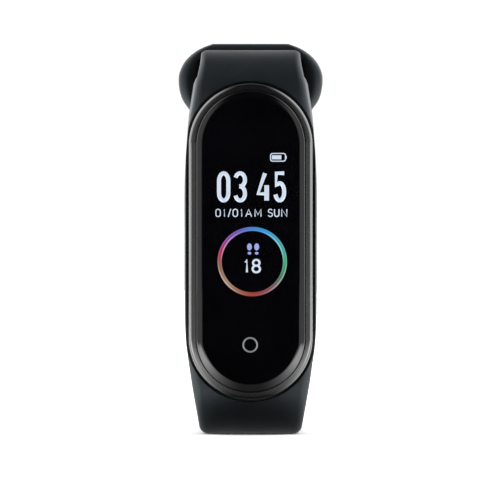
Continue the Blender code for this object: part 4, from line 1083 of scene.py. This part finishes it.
def floorLook():  # the eye sees a lit floor; reflections see a soft glow, brighter under the strap
    look, tree, bsdf, _ = newLook("paleFloor", {})
    tree.nodes.remove(bsdf)
    matte = addNode(tree, "BsdfDiffuse")
    matte.inputs["Color"].default_value = (studio["floorGain"],) * 3 + (1,)
    x, y, _ = axes(tree)
    across = mathNode(tree, "ABSOLUTE", x)
    under = softStep(tree, y, *studio["under"])
    beside = mathNode(tree, "MULTIPLY", softStep(tree, y, *studio["besideFloor"]),
                      softStep(tree, across, *studio["glow"]))
    near = mathNode(tree, "MULTIPLY", softStep(tree, y, *studio["frontNear"]),
                    softStep(tree, y, *studio["frontFar"]))
    front = mathNode(tree, "MULTIPLY", near, softStep(tree, across, *studio["frontAcross"]))
    level = mathNode(tree, "MAXIMUM", mathNode(tree, "MAXIMUM", under, beside), front)
    glow = addNode(tree, "Emission")
    tree.links.new(level, glow.inputs["Strength"])
    mix = addNode(tree, "MixShader")
    tree.links.new(addNode(tree, "LightPath").outputs["Is Camera Ray"], mix.inputs[0])
    tree.links.new(glow.outputs[0], mix.inputs[1])
    tree.links.new(matte.outputs[0], mix.inputs[2])
    tree.links.new(mix.outputs[0], tree.nodes["Material Output"].inputs["Surface"])
    return look


def makeStudio():
    bpy.ops.object.select_all(action="DESELECT")
    bpy.ops.mesh.primitive_circle_add(vertices=96, radius=studio["floor"], fill_type="NGON")
    floor = bpy.context.object
    floor.name = "paleFloor"
    floor.data.materials.append(floorLook())
    floor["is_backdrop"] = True

    bpy.ops.mesh.primitive_plane_add(size=studio["cardSize"], location=(0, studio["cardAt"], 0.03),
                                     rotation=(math.pi / 2, 0, 0))
    card = bpy.context.object  # a dark card in front, which only reflections see
    card.name = "darkCard"
    matte = {"Base Color": (0, 0, 0, 1), "Roughness": 1.0, "Specular IOR Level": 0.0}
    card.data.materials.append(newLook("darkCard", matte)[0])
    card.visible_camera = card.visible_diffuse = card.visible_shadow = card.visible_transmission = False
    card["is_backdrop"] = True
    makeTent()

    tilt = (math.radians(studio["overheadTilt"]), 0, 0)
    bpy.ops.object.light_add(type="SUN", location=(0, 0, 1), rotation=tilt)
    sun = bpy.context.object
    sun.name = "overhead"
    sun.data.energy, sun.data.angle = studio["overhead"], math.radians(studio["overheadSpread"])
    sun.visible_glossy = False


def makeTent():  # white cloth at the sides and back, dim in front and above
    world = bpy.data.worlds.new("studioTent")
    world.use_nodes = True
    bpy.context.scene.world = world
    tree = world.node_tree
    tree.nodes.clear()
    x, y, _ = axes(tree, "Generated")
    across = mathNode(tree, "ABSOLUTE", x)
    side = softStep(tree, across, studio["sideFrom"], studio["sideTo"], studio["dim"], studio["sideWhite"])
    behind = softStep(tree, y, studio["backFrom"], studio["backTo"], studio["dim"], studio["backWhite"])
    edge = softStep(tree, across, studio["edgeFrom"], studio["edgeTo"], 0.0, studio["edgeWhite"])
    beside = softStep(tree, y, studio["besideFrom"], studio["besideTo"], 0.0, 1.0)
    wall = mathNode(tree, "MAXIMUM", side, behind)
    level = mathNode(tree, "MAXIMUM", wall, mathNode(tree, "MULTIPLY", edge, beside))
    cloth = addNode(tree, "Background")
    tree.links.new(level, cloth.inputs["Strength"])
    cloth.inputs["Color"].default_value = (1, 1, 1, 1)
    seen = addNode(tree, "Background")
    seen.inputs["Color"].default_value = (1, 1, 1, 1)
    seen.inputs["Strength"].default_value = studio["seen"]
    mix = addNode(tree, "MixShader")
    leave = addNode(tree, "OutputWorld")
    tree.links.new(addNode(tree, "LightPath").outputs["Is Camera Ray"], mix.inputs[0])
    tree.links.new(cloth.outputs[0], mix.inputs[1])
    tree.links.new(seen.outputs[0], mix.inputs[2])
    tree.links.new(mix.outputs[0], leave.inputs["Surface"])


def softStep(tree, value, start, end, low, high):
    result = mapRange(tree, value, fromMin=start, fromMax=end, toMin=low, toMax=high)
    result.node.interpolation_type = "SMOOTHSTEP"
    return result


camera = {"distance": 700.0, "lens": 342.0, "x": -0.1, "height": -1.24}


def makeCamera():
    bpy.ops.object.camera_add(location=at(camera["x"], -1.8 - camera["distance"], camera["height"]),
                              rotation=(math.pi / 2, 0, 0))
    bpy.context.object.data.lens = camera["lens"]
    bpy.context.object.data.sensor_width = 36.0
    bpy.context.object.data.clip_start = 0.01
    bpy.context.scene.camera = bpy.context.object
    bpy.context.scene.view_settings.view_transform = "Standard"


bpy.ops.object.select_all(action="DESELECT")
looks = makeLooks()
makeStrap(looks)
makeCapsule(looks)
makeBackDetails(looks)
makeDisplay(looks)
dressInside(looks)
makeStudio()
makeCamera()

visualBox = [list(corner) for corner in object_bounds()]
for name, box in (("CAD", cadBox), ("visual", visualBox)):
    print(name, "box in mm:", [round((b - a) / mm, 2) for a, b in zip(*box)])
